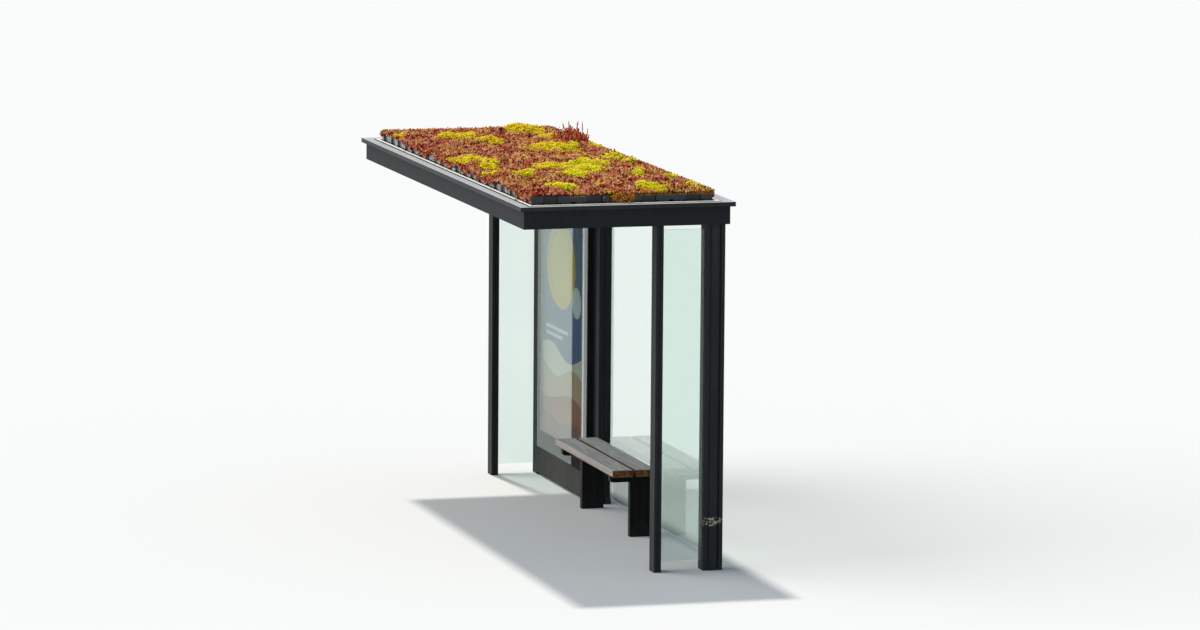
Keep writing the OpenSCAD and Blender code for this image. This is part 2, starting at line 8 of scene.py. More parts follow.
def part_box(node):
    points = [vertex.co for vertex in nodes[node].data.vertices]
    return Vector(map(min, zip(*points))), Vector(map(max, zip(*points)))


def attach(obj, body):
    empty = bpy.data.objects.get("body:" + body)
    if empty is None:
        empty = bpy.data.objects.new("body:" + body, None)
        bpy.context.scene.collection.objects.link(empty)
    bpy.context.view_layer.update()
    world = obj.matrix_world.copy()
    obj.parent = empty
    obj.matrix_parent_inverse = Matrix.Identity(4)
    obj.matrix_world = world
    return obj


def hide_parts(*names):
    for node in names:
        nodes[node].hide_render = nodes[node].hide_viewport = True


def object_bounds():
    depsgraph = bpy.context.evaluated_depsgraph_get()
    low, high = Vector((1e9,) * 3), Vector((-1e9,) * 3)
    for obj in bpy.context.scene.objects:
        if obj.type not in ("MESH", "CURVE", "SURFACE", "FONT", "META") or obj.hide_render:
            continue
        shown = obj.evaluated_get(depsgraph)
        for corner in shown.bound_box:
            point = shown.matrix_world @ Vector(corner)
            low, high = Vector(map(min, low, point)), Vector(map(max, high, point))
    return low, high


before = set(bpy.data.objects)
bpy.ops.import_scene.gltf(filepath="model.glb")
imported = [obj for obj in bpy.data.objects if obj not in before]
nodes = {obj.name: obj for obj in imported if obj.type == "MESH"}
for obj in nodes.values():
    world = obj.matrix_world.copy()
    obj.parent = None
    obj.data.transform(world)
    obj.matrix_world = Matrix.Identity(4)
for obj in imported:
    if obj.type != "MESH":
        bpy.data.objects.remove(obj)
cad_low, cad_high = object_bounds()


# Camera: a long lens some forty metres off the near end of the shelter, above the roof. Its place
# and turns come from fitting the posts and the corners of the roof in the photograph.
camera_place = Vector((41.522, -11.572, 7.353))
camera_azimuth = math.radians(73.875)
camera_pitch = math.radians(7.797)
camera_roll = math.radians(0.4235)
camera_lens, camera_sensor = 189.0, 36.0
nearest_seen, furthest_seen = 1.0, 600.0

forward = Vector((
    -math.sin(camera_azimuth) * math.cos(camera_pitch),
    math.cos(camera_azimuth) * math.cos(camera_pitch),
    -math.sin(camera_pitch),
))
level_right = Vector((math.cos(camera_azimuth), math.sin(camera_azimuth), 0.0))
level_up = level_right.cross(forward)
right = level_right * math.cos(camera_roll) + level_up * math.sin(camera_roll)
up = level_up * math.cos(camera_roll) - level_right * math.sin(camera_roll)
camera_turn = Matrix((right, up, -forward)).transposed()

camera = bpy.data.objects.new("camera", bpy.data.cameras.new("camera"))
camera.data.sensor_width = camera_sensor
camera.data.lens = camera_lens
camera.data.clip_start = nearest_seen
camera.data.clip_end = furthest_seen
camera.matrix_world = Matrix.Translation(camera_place) @ camera_turn.to_4x4()
bpy.context.scene.collection.objects.link(camera)
bpy.context.scene.camera = camera
bpy.context.scene.view_settings.view_transform = "Standard"


# Studio light: a small bright lamp high above the far end, as the sun stands in the photograph, a
# broad soft one from the open side and a weak bluish light from all round. Every ray that sees the
# surroundings finds them white.
sun_towards = Vector((0.403, 0.040, -0.914))
sun_strength = 2.35
sun_softness = math.radians(3.0)
side_towards = Vector((0.28, 0.80, -0.55))
side_strength = 2.1
side_softness = math.radians(60.0)
lamp_colour = (1.0, 0.97, 0.92)
surround_strength = 0.33
surround_colour = (0.78, 0.95, 1.17, 1.0)
white = (1.0, 1.0, 1.0, 1.0)


def add_node(tree, kind, inputs=None, **settings):
    """A new node of a kind: settings are its properties, and inputs maps a socket's name or number
    to a number, a colour or another node's output."""
    node = tree.nodes.new(kind)
    for name, value in settings.items():
        setattr(node, name, value)
    for name, value in (inputs or {}).items():
        if isinstance(value, bpy.types.NodeSocket):
            tree.links.new(value, node.inputs[name])
        else:
            node.inputs[name].default_value = value
    return node


def calc(tree, operation, *terms):
    """The output of a Math node that works on up to three numbers or outputs."""
    return add_node(tree, "ShaderNodeMath", dict(enumerate(terms)), operation=operation).outputs[0]


def blend_colour(tree, share, first, second):
    """First colour where share is 0 and second where it is 1."""
    return add_node(tree, "ShaderNodeMix", {0: share, 6: first, 7: second},
                    data_type="RGBA").outputs[2]


def seen_directly(tree):
    """1 for camera, glossy and transmission rays, and 0 for the rays that carry light about."""
    path = add_node(tree, "ShaderNodeLightPath").outputs
    glossy_too = calc(tree, "MAXIMUM", path["Is Camera Ray"], path["Is Glossy Ray"])
    return calc(tree, "MAXIMUM", glossy_too, path["Is Transmission Ray"])


for name, towards, strength, softness in (
    ("sun_lamp", sun_towards, sun_strength, sun_softness),
    ("side_lamp", side_towards, side_strength, side_softness),
):
    lamp = bpy.data.objects.new(name, bpy.data.lights.new(name, "SUN"))
    lamp.data.energy = strength
    lamp.data.angle = softness
    lamp.data.color = lamp_colour
    lamp.rotation_euler = towards.to_track_quat("-Z", "Y").to_euler()
    bpy.context.scene.collection.objects.link(lamp)

world = bpy.data.worlds.new("studio")
world.use_nodes = True
surround = world.node_tree
surround.nodes.clear()
direct = seen_directly(surround)
tint = blend_colour(surround, direct, surround_colour, white)
strength = add_node(surround, "ShaderNodeMix", {0: direct, 2: surround_strength, 3: 1.0})
light = add_node(surround, "ShaderNodeBackground", {"Color": tint, "Strength": strength.outputs[0]})
add_node(surround, "ShaderNodeOutputWorld", {"Surface": light.outputs[0]})
bpy.context.scene.world = world


# Floor: one plain pale sheet, wide enough to fill every view, just below the feet of the posts. It
# passes light on as a mid grey does, so that the undersides and the shaded faces stay dark.
floor_half = 260.0
floor_drop = 0.001


def srgb(red, green, blue):
    """Linear colour with full alpha from the 0 to 255 numbers of a colour chart."""
    part = np.array([red, green, blue]) / 255.0
    linear = np.where(part <= 0.04045, part / 12.92, ((part + 0.055) / 1.055) ** 2.4)
    return (*linear.tolist(), 1.0)


def new_material(name, **values):
    """A material with one Principled BSDF; values are its sockets, with _ for a space."""
    made = bpy.data.materials.new(name)
    made.use_nodes = True
    tree = made.node_tree
    tree.nodes.clear()
    shader = add_node(tree, "ShaderNodeBsdfPrincipled", {
        key.replace("_", " "): value for key, value in values.items()
    })
    add_node(tree, "ShaderNodeOutputMaterial", {"Surface": shader.outputs[0]})
    return made, tree, shader


def wire(tree, output, node, socket):
    """Join an output to a node's socket."""
    tree.links.new(output, node.inputs[socket])


def mesh_object(name, points, faces, material):
    """An object at the origin from an array of points and an array or a list of faces."""
    mesh = bpy.data.meshes.new(name)
    mesh.from_pydata(points, [], faces.tolist() if isinstance(faces, np.ndarray) else faces)
    mesh.materials.append(material)
    made = bpy.data.objects.new(name, mesh)
    bpy.context.scene.collection.objects.link(made)
    return made


floor_finish, tree, shader = new_material("studio_floor", Roughness=1.0, Specular_IOR_Level=0.0)
wire(tree, blend_colour(tree, seen_directly(tree), srgb(150, 149, 146), srgb(222, 222, 220)),
     shader, "Base Color")
corners = np.array([[-1, -1, 0], [1, -1, 0], [1, 1, 0], [-1, 1, 0]], float) * floor_half
floor = mesh_object("floor", corners, [(0, 1, 2, 3)], floor_finish)
floor.location.z = -floor_drop


# Posts, fascia, beams, case and glazing bar: steel and aluminium profiles with a satin powder coat
# in anthracite grey. The coat has a faint orange peel, dusty rain streaks and splashed feet.
def new_group(name, inputs, outputs):
    """A shader node group with named sockets. inputs maps a name to its socket kind and its usual
    value, and outputs maps a name to its kind."""
    group = bpy.data.node_groups.new(name, "ShaderNodeTree")
    for label, (kind, value) in inputs.items():
        socket = group.interface.new_socket(label, in_out="INPUT", socket_type="NodeSocket" + kind)
        socket.default_value = value
    for label, kind in outputs.items():
        group.interface.new_socket(label, in_out="OUTPUT", socket_type="NodeSocket" + kind)
    return group, group.nodes.new("NodeGroupInput").outputs, group.nodes.new("NodeGroupOutput")


def place_group(tree, group, inputs=None):
    """Outputs of a group that is placed in a material with its own values."""
    return add_node(tree, "ShaderNodeGroup", inputs, node_tree=group).outputs


def own_place(tree, kind="Object"):
    """Each surface point's place on the piece or, where the kind is Normal, its facing."""
    return add_node(tree, "ShaderNodeTexCoord").outputs[kind]


def own_axes(tree, kind="Object"):
    """X, Y and Z of each surface point's place or facing."""
    return add_node(tree, "ShaderNodeSeparateXYZ", {0: own_place(tree, kind)}).outputs


def object_noise(tree, scale, stretch=(1.0, 1.0, 1.0), detail=2.0, roughness=0.5):
    """Noise on Object coordinates, from 0 to 1, with its pattern squeezed by stretch."""
    squeezed = add_node(tree, "ShaderNodeMapping", {"Vector": own_place(tree), "Scale": stretch})
    return add_node(tree, "ShaderNodeTexNoise", {
        "Vector": squeezed.outputs[0], "Scale": scale, "Detail": detail, "Roughness": roughness,
    }).outputs["Fac"]


def span(tree, value, low, high, out_low=0.0, out_high=1.0):
    """A value from low to high stretched smoothly to out_low to out_high, and held outside."""
    return add_node(tree, "ShaderNodeMapRange", {
        "Value": value, "From Min": low, "From Max": high, "To Min": out_low, "To Max": out_high,
    }, interpolation_type="SMOOTHSTEP").outputs[0]


weather, sockets, result = new_group("weathering", {
    "Colour": ("Color", (0.05, 0.05, 0.05, 1.0)), "Dust": ("Color", (0.3, 0.28, 0.25, 1.0)),
    "Amount": ("Float", 0.3), "Splash": ("Float", 0.25), "Roughness": ("Float", 0.4),
}, {"Colour": "Color", "Roughness": "Float"})
streaks = span(weather, object_noise(weather, 9.0, (3.0, 3.0, 0.16), 3.0), 0.42, 0.78)
clouds = span(weather, object_noise(weather, 2.3, detail=4.0, roughness=0.6), 0.35, 0.72)
splash_share = calc(weather, "DIVIDE", own_axes(weather)["Z"], sockets["Splash"])
splashes = calc(weather, "MULTIPLY", span(weather, splash_share, 0.0, 1.0, 1.0, 0.0),
                span(weather, object_noise(weather, 42.0, detail=3.0), 0.3, 0.7))
streaky = calc(weather, "MULTIPLY_ADD", streaks, 0.55, calc(weather, "MULTIPLY", clouds, 0.35))
dusty = calc(weather, "MULTIPLY", calc(weather, "ADD", streaky, splashes), sockets["Amount"])
mask = calc(weather, "MINIMUM", dusty, 1.0)
wire(weather, blend_colour(weather, mask, sockets["Colour"], sockets["Dust"]), result, "Colour")
wire(weather, calc(weather, "MULTIPLY_ADD", mask, 0.45, sockets["Roughness"]), result, "Roughness")

peel, sockets, result = new_group("orange_peel", {"Scale": ("Float", 260.0)}, {"Height": "Float"})
fine = add_node(peel, "ShaderNodeTexNoise", {"Vector": own_place(peel), "Scale": sockets["Scale"]})
wire(peel, fine.outputs["Fac"], result, "Height")


def bump_from(tree, shader, height, strength, distance=0.001):
    """Feeds the shader's normal from a height."""
    bump = add_node(tree, "ShaderNodeBump", {
        "Height": height, "Strength": strength, "Distance": distance,
    })
    wire(tree, bump.outputs[0], shader, "Normal")


def weathered(tree, shader, colour, dust, amount, splash, roughness):
    """Feeds the shader's colour and roughness from the weathering group, and gives its outputs."""
    worn = place_group(tree, weather, {
        "Colour": colour, "Dust": dust, "Amount": amount, "Splash": splash, "Roughness": roughness,
    })
    wire(tree, worn["Colour"], shader, "Base Color")
    wire(tree, worn["Roughness"], shader, "Roughness")
    return worn


def vector_calc(tree, operation, *terms):
    """The outputs of a Vector Math node that works on up to two places."""
    return add_node(tree, "ShaderNodeVectorMath", dict(enumerate(terms)), operation=operation).outputs


def painted(name, colour, amount, splash, roughness, scuff=None):
    """Powder-coated metal in a colour, with so much dust and a splashed foot so high. A scuff is
    given by its middle and its half-sizes: pale specks where the paint is rubbed off."""
    made, tree, shader = new_material(name, Specular_IOR_Level=0.08)
    worn = weathered(tree, shader, colour, srgb(136, 131, 120), amount, splash, roughness)
    if scuff:
        middle, reach = scuff
        away = vector_calc(tree, "SUBTRACT", own_place(tree), middle)[0]
        away = vector_calc(tree, "DIVIDE", away, reach)[0]
        near = span(tree, vector_calc(tree, "LENGTH", away)["Value"], 0.6, 1.0, 1.0, 0.0)
        specks = span(tree, object_noise(tree, 62.0, detail=3.0, roughness=0.7), 0.52, 0.56)
        rubbed = blend_colour(tree, calc(tree, "MULTIPLY", near, specks), worn["Colour"],
                              srgb(226, 216, 188))
        wire(tree, rubbed, shader, "Base Color")
    bump_from(tree, shader, place_group(tree, peel)["Height"], 0.25, 0.0004)
    return made


def dress(material, *names):
    """Gives CAD nodes a better material."""
    for name in names:
        for slot in nodes[name].material_slots:
            slot.material = material


post_tone = srgb(52, 55, 58)
corner_low, corner_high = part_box("back_post_right")
scuff_middle = (corner_high.x, corner_low.y + 0.065, 0.328)
scuff_reach = (0.03, 0.120, 0.036)
dress(painted("post_paint", post_tone, 0.10, 0.25, 0.62), "front_post_left", "front_post_right",
      "back_post_left", "back_post_mid", "glazing_bar")
dress(painted("scuffed_post_paint", post_tone, 0.10, 0.25, 0.62, (scuff_middle, scuff_reach)),
      "back_post_right")
dress(painted("roof_paint", srgb(46, 49, 53), 0.05, 0.05, 0.62),
      "fascia_front", "fascia_back", "fascia_left", "fascia_right",
      "roof_beam_left", "roof_beam_mid_left", "roof_beam_mid_right", "roof_beam_right")
dress(painted("case_paint", srgb(53, 54, 54), 0.13, 0.30, 0.62),
      "case_body", "case_back_panel", "case_lower_panel")
dress(painted("door_paint", srgb(26, 28, 30), 0.06, 0.30, 0.55), "case_door_frame")


# Glazing: toughened float glass with a faint green tint, held in the posts' channels by black
# rubber. The lower edges stand bare, and a thin film of dust lies on the panes.
def glazed(name, tint, shadow_tint):
    """Clear glass of a tint, which lets the lamp's light through in another."""
    made, tree, shader = new_material(
        name, Base_Color=tint, IOR=1.45, Transmission_Weight=1.0, Specular_IOR_Level=0.5)
    film = span(tree, object_noise(tree, 5.0, (1.0, 1.0, 0.5), 4.0), 0.45, 0.8, 0.0, 0.035)
    wire(tree, film, shader, "Roughness")
    clear = add_node(tree, "ShaderNodeBsdfTransparent", {"Color": shadow_tint})
    path = add_node(tree, "ShaderNodeLightPath").outputs
    unseen = calc(tree, "MAXIMUM", path["Is Shadow Ray"], path["Is Diffuse Ray"])
    both = add_node(tree, "ShaderNodeMixShader", {
        0: unseen, 1: shader.outputs[0], 2: clear.outputs[0],
    })
    output = next(node for node in tree.nodes if node.type == "OUTPUT_MATERIAL")
    wire(tree, both.outputs[0], output, "Surface")
    return made


dress(glazed("clear_glass", srgb(232, 243, 238), srgb(214, 226, 220)),
      "end_glass_left", "end_glass_right", "back_glass_mid", "back_glass_right")
dress(glazed("door_glass", srgb(240, 246, 244), srgb(222, 230, 227)), "case_door_glass")


def mottled(tree, shader, scale, first, second, detail=2.0):
    """Feeds the shader's colour from noise of a scale between two chart colours."""
    tone = blend_colour(tree, object_noise(tree, scale, detail=detail), srgb(*first), srgb(*second))
    wire(tree, tone, shader, "Base Color")


rubber, tree, shader = new_material("gasket_rubber", Specular_IOR_Level=0.2)
mottled(tree, shader, 30.0, (22, 22, 22), (46, 46, 44))
wire(tree, span(tree, object_noise(tree, 60.0), 0.3, 0.7, 0.55, 0.75), shader, "Roughness")
dress(rubber, "end_gaskets_left", "end_gaskets_right", "back_gaskets_mid", "back_gaskets_right")


# Poster case: behind the door's pane lies a black enamelled border, printed on its inner side, and
# a paper poster on the board. The design on the poster is a plain one of this model's own.
door_low, door_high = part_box("case_door_glass")
board_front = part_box("poster_board")[0].y
window_left, window_right = door_low.x + 0.073, door_high.x - 0.085
window_low, window_high = door_low.z + 0.128, door_high.z - 0.274
border_inset = 0.002
border_depth = 0.0004
paper_w, paper_h, paper_thick = 1.185, 1.750, 0.0004
paper_columns, paper_rows = 60, 90
paper_wave = 0.0012
paper_gap = 2.2 * paper_wave


def flat_ring(outer, inner, y_front, y_back):
    """Closed frame in an upright plane: a section of four points, on the outer rectangle and on the
    inner one at the front and at the back, is carried round the four corners and joined up. Each
    rectangle is given by its left, right, low and high."""
    section = ((outer, y_front), (outer, y_back), (inner, y_back), (inner, y_front))
    points = np.array([
        [x, y, z] for (left, last, low, high), y in section
        for x, z in ((left, low), (last, low), (last, high), (left, high))
    ])
    strip, corner = (place.ravel() for place in np.indices((4, 4)))
    next_strip, next_corner = (strip + 1) % 4, (corner + 1) % 4
    faces = np.stack([4 * strip + corner, 4 * next_strip + corner,
                      4 * next_strip + next_corner, 4 * strip + next_corner], axis=1)
    return points, faces


def grid_faces(columns, rows):
    """Quads of a grid whose points run along its columns first."""
    start = (np.arange(rows - 1)[:, None] * columns + np.arange(columns - 1)).ravel()
    return np.stack([start, start + 1, start + columns + 1, start + columns], axis=1)


enamel, tree, shader = new_material("enamel_border", Base_Color=srgb(16, 17, 18), Roughness=0.3)
bump_from(tree, shader, object_noise(tree, 400.0), 0.05, 0.0002)
border_y = door_high.y - 2 * border_depth
border = mesh_object("case_glass_border", *flat_ring(
    (door_low.x + border_inset, door_high.x - border_inset,
     door_low.z + border_inset, door_high.z - border_inset),
    (window_left, window_right, window_low, window_high),
    border_y, border_y + border_depth), enamel)
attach(border, "root")

paper_middle = (window_left + window_right) / 2
across = np.linspace(-0.5, 0.5, paper_columns)
upward = np.linspace(0.0, 1.0, paper_rows)
side, rise = np.meshgrid(across, upward)
sag = np.sin(side * 9.0 + rise * 4.0) * np.sin(rise * 11.0 + 1.0) * paper_wave
paper_low = (window_low + window_high - paper_h) / 2
paper_points = np.stack([
    paper_middle + side * paper_w,
    board_front - paper_gap + sag,
    paper_low + rise * paper_h,
], axis=-1).reshape(-1, 3)

poster_print, tree, shader = new_material("poster_print", Roughness=0.38, Specular_IOR_Level=0.4)
axes = own_axes(tree)
u = calc(tree, "DIVIDE", calc(tree, "SUBTRACT", axes["X"], window_left), window_right - window_left)
v = calc(tree, "DIVIDE", calc(tree, "SUBTRACT", axes["Z"], window_low), window_high - window_low)


def disc(tree, u, v, middle, radii, edge=0.02):
    """1 inside an ellipse and 0 outside, from the distance to its middle over its radii."""
    du = calc(tree, "DIVIDE", calc(tree, "SUBTRACT", u, middle[0]), radii[0])
    dv = calc(tree, "DIVIDE", calc(tree, "SUBTRACT", v, middle[1]), radii[1])
    reach = calc(tree, "SQRT", calc(tree, "ADD", calc(tree, "MULTIPLY", du, du),
                                    calc(tree, "MULTIPLY", dv, dv)))
    return span(tree, reach, 1.0 - edge, 1.0 + edge, 1.0, 0.0)


def block(tree, u, v, left, right, low, high, edge=0.003):
    """1 inside an upright rectangle and 0 outside."""
    sides = calc(tree, "MULTIPLY", span(tree, u, left - edge, left + edge),
                 span(tree, u, right - edge, right + edge, 1.0, 0.0))
    ends = calc(tree, "MULTIPLY", span(tree, v, low - edge, low + edge),
                span(tree, v, high - edge, high + edge, 1.0, 0.0))
    return calc(tree, "MULTIPLY", sides, ends)


def rolling_line(tree, u, level, swing, waves, phase):
    """Height of a wavy line: the level plus a sine of the place across."""
    turned = calc(tree, "SINE", calc(tree, "MULTIPLY_ADD", u, waves, phase))
    return calc(tree, "MULTIPLY_ADD", turned, swing, level)


ink = blend_colour(tree, span(tree, v, 0.3, 1.0), srgb(18, 66, 128), srgb(78, 118, 158))
for middle, radii, tone in (
    ((0.42, 0.74), (0.33, 0.185), srgb(232, 190, 24)),
    ((0.42, 0.74), (0.24, 0.135), srgb(242, 208, 64)),
    ((0.78, 0.61), (0.10, 0.066), srgb(236, 240, 240)),
):
    ink = blend_colour(tree, disc(tree, u, v, middle, radii), ink, tone)
for level, swing, waves, phase, tone in (
    (0.37, 0.030, 7.0, 0.4, srgb(222, 214, 198)),
    (0.29, 0.026, 8.0, 2.2, srgb(196, 160, 128)),
    (0.18, 0.022, 6.0, 4.0, srgb(158, 84, 60)),
    (0.08, 0.014, 9.0, 1.0, srgb(120, 58, 46)),
):
    line = rolling_line(tree, u, level, swing, waves, phase)
    below = span(tree, calc(tree, "SUBTRACT", v, line), -0.002, 0.002, 1.0, 0.0)
    ink = blend_colour(tree, below, ink, tone)
for left, right_edge, low, high, tone in (
    (0.08, 0.58, 0.455, 0.470, srgb(232, 238, 240)),
    (0.08, 0.46, 0.425, 0.440, srgb(232, 238, 240)),
    (0.90, 1.20, -0.10, 1.10, srgb(226, 228, 228)),
):
    ink = blend_colour(tree, block(tree, u, v, left, right_edge, low, high), ink, tone)
wire(tree, ink, shader, "Base Color")
bump_from(tree, shader, object_noise(tree, 35.0, detail=3.0), 0.1)
poster = mesh_object(
    "poster_paper", paper_points, grid_faces(paper_columns, paper_rows), poster_print)
poster.modifiers.new("paper", "SOLIDIFY").thickness = paper_thick
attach(poster, "root")

board_finish, tree, shader = new_material("board_finish", Specular_IOR_Level=0.3)
mottled(tree, shader, 4.0, (206, 210, 210), (222, 225, 225))
wire(tree, span(tree, object_noise(tree, 20.0), 0.3, 0.7, 0.45, 0.6), shader, "Roughness")
dress(board_finish, "poster_board")


# Roof edging: an extruded aluminium profile, mitred at the corners. Its outer face is painted dark,
# with its grooves a lighter grey as a painted highlight on their ledges. Its top is a light blue
# grey, a painted reflection of the sky, flecked with lime and dust, the channel before the lip is
# near black, and its inner lip is bare and pale.
edge_low, edge_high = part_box("edging_front")
ring_half_x, ring_half_y, edge_top = edge_high.x, -edge_low.y, edge_high.z
outermost, groove_starts, face_ends, top_fall = 0.0003, 0.0012, 0.006, 0.0035
bead_starts, channel_starts, lip_starts = 0.064, 0.0690, 0.0806

inset, sockets, result = new_group("ring_inset", {
    "Half length": ("Float", ring_half_x), "Half depth": ("Float", ring_half_y),
}, {"Distance": "Float"})
axes = own_axes(inset)
from_end = calc(inset, "SUBTRACT", sockets["Half length"], calc(inset, "ABSOLUTE", axes["X"]))
from_side = calc(inset, "SUBTRACT", sockets["Half depth"], calc(inset, "ABSOLUTE", axes["Y"]))
wire(inset, calc(inset, "MINIMUM", from_end, from_side), result, "Distance")

edging_finish, tree, shader = new_material("edging_finish", Specular_IOR_Level=0.12)
inward = place_group(tree, inset)["Distance"]
level = own_axes(tree)["Z"]


def past(tree, value, start):
    """1 where a value is past a start, and 0 before it."""
    return calc(tree, "GREATER_THAN", value, start)


above = calc(tree, "MULTIPLY", past(tree, level, edge_top - top_fall), past(tree, inward, outermost))
on_top = calc(tree, "MAXIMUM", past(tree, inward, face_ends), above)
speckle = span(tree, object_noise(tree, 70.0, detail=4.0), 0.4, 0.75)
lime = span(tree, object_noise(tree, 7.0, (0.4, 0.4, 1.0), 4.0, 0.6), 0.5, 0.66)
# Painted highlight: the grooves of the outer face, deeper than its lands, are a lighter grey. Painted
# reflection: the top is a light blue grey, as the sky shows on it.
side_tone = blend_colour(tree, past(tree, inward, groove_starts), srgb(24, 26, 28), srgb(86, 88, 91))
top_tone = blend_colour(tree, speckle, srgb(158, 164, 170), srgb(176, 180, 183))
top_tone = blend_colour(tree, calc(tree, "MULTIPLY", lime, 0.35), top_tone, srgb(186, 180, 154))
lip_tone = blend_colour(tree, speckle, srgb(240, 237, 228), srgb(214, 208, 192))
bead_tone = blend_colour(tree, 0.5, top_tone, lip_tone)
tone = blend_colour(tree, on_top, side_tone, top_tone)
tone = blend_colour(tree, past(tree, inward, bead_starts), tone, bead_tone)
tone = blend_colour(tree, past(tree, inward, channel_starts), tone, srgb(14, 14, 14))
tone = blend_colour(tree, past(tree, inward, lip_starts), tone, lip_tone)
weathered(tree, shader, tone, srgb(120, 112, 96), 0.16, 0.01, 0.45)
bump_from(tree, shader, object_noise(tree, 180.0, (0.08, 1.0, 1.0)), 0.2, 0.0004)
dress(edging_finish, "edging_front", "edging_back", "edging_left", "edging_right")


# Deck and ceiling: the deck carries a dark rubber roof skin, which shows only in the narrow strip
# around the trays. The ceiling is a row of painted light grey panels between the beams.
skin, tree, shader = new_material("roof_skin", Specular_IOR_Level=0.2, Roughness=0.85)
mottled(tree, shader, 25.0, (38, 37, 35), (78, 72, 62), 5.0)
bump_from(tree, shader, object_noise(tree, 160.0, detail=3.0), 0.5, 0.001)
dress(skin, "roof_deck")
dress(painted("ceiling_paint", srgb(150, 153, 154), 0.12, 0.01, 0.5), "ceiling_panels")


# Planting trays: black plastic mouldings with a painted sheen on their proud long sides and painted
# shade in the recesses, filled with a crumbly brown growing medium of lava, pumice and compost.
tray_low, tray_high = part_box("tray_row_front")
face_x, face_y, tray_foot, tray_rim = tray_high.x, -tray_low.y, tray_low.z, tray_high.z
recess_starts = 0.003
turned_outwards = 0.7

plastic, tree, shader = new_material("tray_plastic", Specular_IOR_Level=0.34)
facing, at = own_axes(tree, "Normal"), own_axes(tree)
long_side, short_side = (
    calc(tree, "MULTIPLY", past(tree, calc(tree, "ABSOLUTE", facing[axis]), turned_outwards),
         past(tree, calc(tree, "ABSOLUTE", at[axis]), face - recess_starts))
    for axis, face in (("Y", face_y), ("X", face_x))
)
# Painted sheen: the proud long sides are a mottled pale blue grey. Painted shade: the recesses and
# every face but the proud ones are near black, and the proud short sides are dark grey.
mottle = span(tree, object_noise(tree, 24.0, (1.0, 1.0, 0.5), 4.0, 0.65), 0.35, 0.62)
painted_sheen = blend_colour(tree, mottle, srgb(70, 78, 90), srgb(158, 166, 178))
shell_tone = blend_colour(tree, short_side, srgb(24, 26, 30), srgb(50, 55, 64))
shell_tone = blend_colour(tree, long_side, shell_tone, painted_sheen)
weathered(tree, shader, shell_tone, srgb(132, 132, 132), 0.16, 0.01, 0.26)
bump_from(tree, shader, object_noise(tree, 90.0, detail=3.0), 0.3, 0.0008)
dress(plastic, "tray_row_front", "tray_row_back")

soil, tree, shader = new_material("growing_medium", Specular_IOR_Level=0.1, Roughness=0.95)
crumbs = object_noise(tree, 220.0, detail=4.0, roughness=0.7)
wire(tree, blend_colour(tree, span(tree, crumbs, 0.35, 0.68), srgb(50, 34, 24), srgb(132, 96, 70)),
     shader, "Base Color")
bump_from(tree, shader, crumbs, 0.9, 0.004)
dress(soil, "growing_medium")


# Ground cover of the planted roof: a low mat of moss and creeping stonecrop over the growing
# medium. It follows the hills of the plants' solids, a finger's width lower, and closes below.
plants_low, plants_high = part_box("sedum_front")
field_x, field_y = plants_high.x, -plants_low.y
cover_drop = 0.019
cover_step = 0.016
cover_bumps = 0.007
cover_edge_w, cover_edge_h = 0.03, 0.003
cover_foot = 0.0005
hills_from = tray_rim + 0.001
lattice_size, lattice_shift = 512, 200.0


def cad_hills(*names):
    """The plants' solids as a grid of heights: the places of its columns and rows, and the highest
    point at each crossing."""
    points = []
    for name in names:
        flat = np.zeros(len(nodes[name].data.vertices) * 3)
        nodes[name].data.vertices.foreach_get("co", flat)
        points.append(flat.reshape(-1, 3))
    points = np.concatenate(points)
    points = points[points[:, 2] > hills_from]
    columns, at_x = np.unique(np.round(points[:, 0], 3), return_inverse=True)
    rows, at_y = np.unique(np.round(points[:, 1], 3), return_inverse=True)
    heights = np.zeros((len(rows), len(columns)))
    np.maximum.at(heights, (at_y, at_x), points[:, 2])
    return columns, rows, heights


hill_columns, hill_rows, hill_heights = cad_hills("sedum_front", "sedum_back")


def hill_at(x, y):
    """Height of the plants' solids at places, in a straight line between the grid's points."""
    i = np.clip(np.searchsorted(hill_columns, x) - 1, 0, len(hill_columns) - 2)
    j = np.clip(np.searchsorted(hill_rows, y) - 1, 0, len(hill_rows) - 2)
    a = np.clip((x - hill_columns[i]) / (hill_columns[i + 1] - hill_columns[i]), 0.0, 1.0)
    b = np.clip((y - hill_rows[j]) / (hill_rows[j + 1] - hill_rows[j]), 0.0, 1.0)
    near = hill_heights[j, i] * (1 - a) + hill_heights[j, i + 1] * a
    far = hill_heights[j + 1, i] * (1 - a) + hill_heights[j + 1, i + 1] * a
    return near * (1 - b) + far * b


def lattice_noise(x, y, cell, seed):
    """Smooth noise from 0 to 1: random numbers on a square lattice, eased between its points."""
    table = np.random.default_rng(seed).random((lattice_size, lattice_size))
    u, v = x / cell + lattice_shift, y / cell + lattice_shift
    i, j = np.floor(u).astype(int), np.floor(v).astype(int)
    a, b = u - i, v - j
    a, b = a * a * (3 - 2 * a), b * b * (3 - 2 * b)
    i, j = i % (lattice_size - 1), j % (lattice_size - 1)
    near = table[j, i] * (1 - a) + table[j, i + 1] * a
    far = table[j + 1, i] * (1 - a) + table[j + 1, i + 1] * a
    return near * (1 - b) + far * b


def closed_mat(columns, rows, top, bottom):
    """Closed solid between a grid of top points and its copy at a level below."""
    count = columns * rows
    under = top.copy()
    under[:, 2] = bottom
    upper = grid_faces(columns, rows)
    lower = upper[:, ::-1] + count
    ring = np.concatenate([
        np.arange(columns), np.arange(1, rows) * columns + columns - 1,
        (rows - 1) * columns + np.arange(columns - 2, -1, -1), np.arange(rows - 2, 0, -1) * columns,
    ])
    after = np.roll(ring, -1)
    wall = np.stack([ring, ring + count, after + count, after], axis=1)
    return np.concatenate([top, under]), np.concatenate([upper, lower, wall])


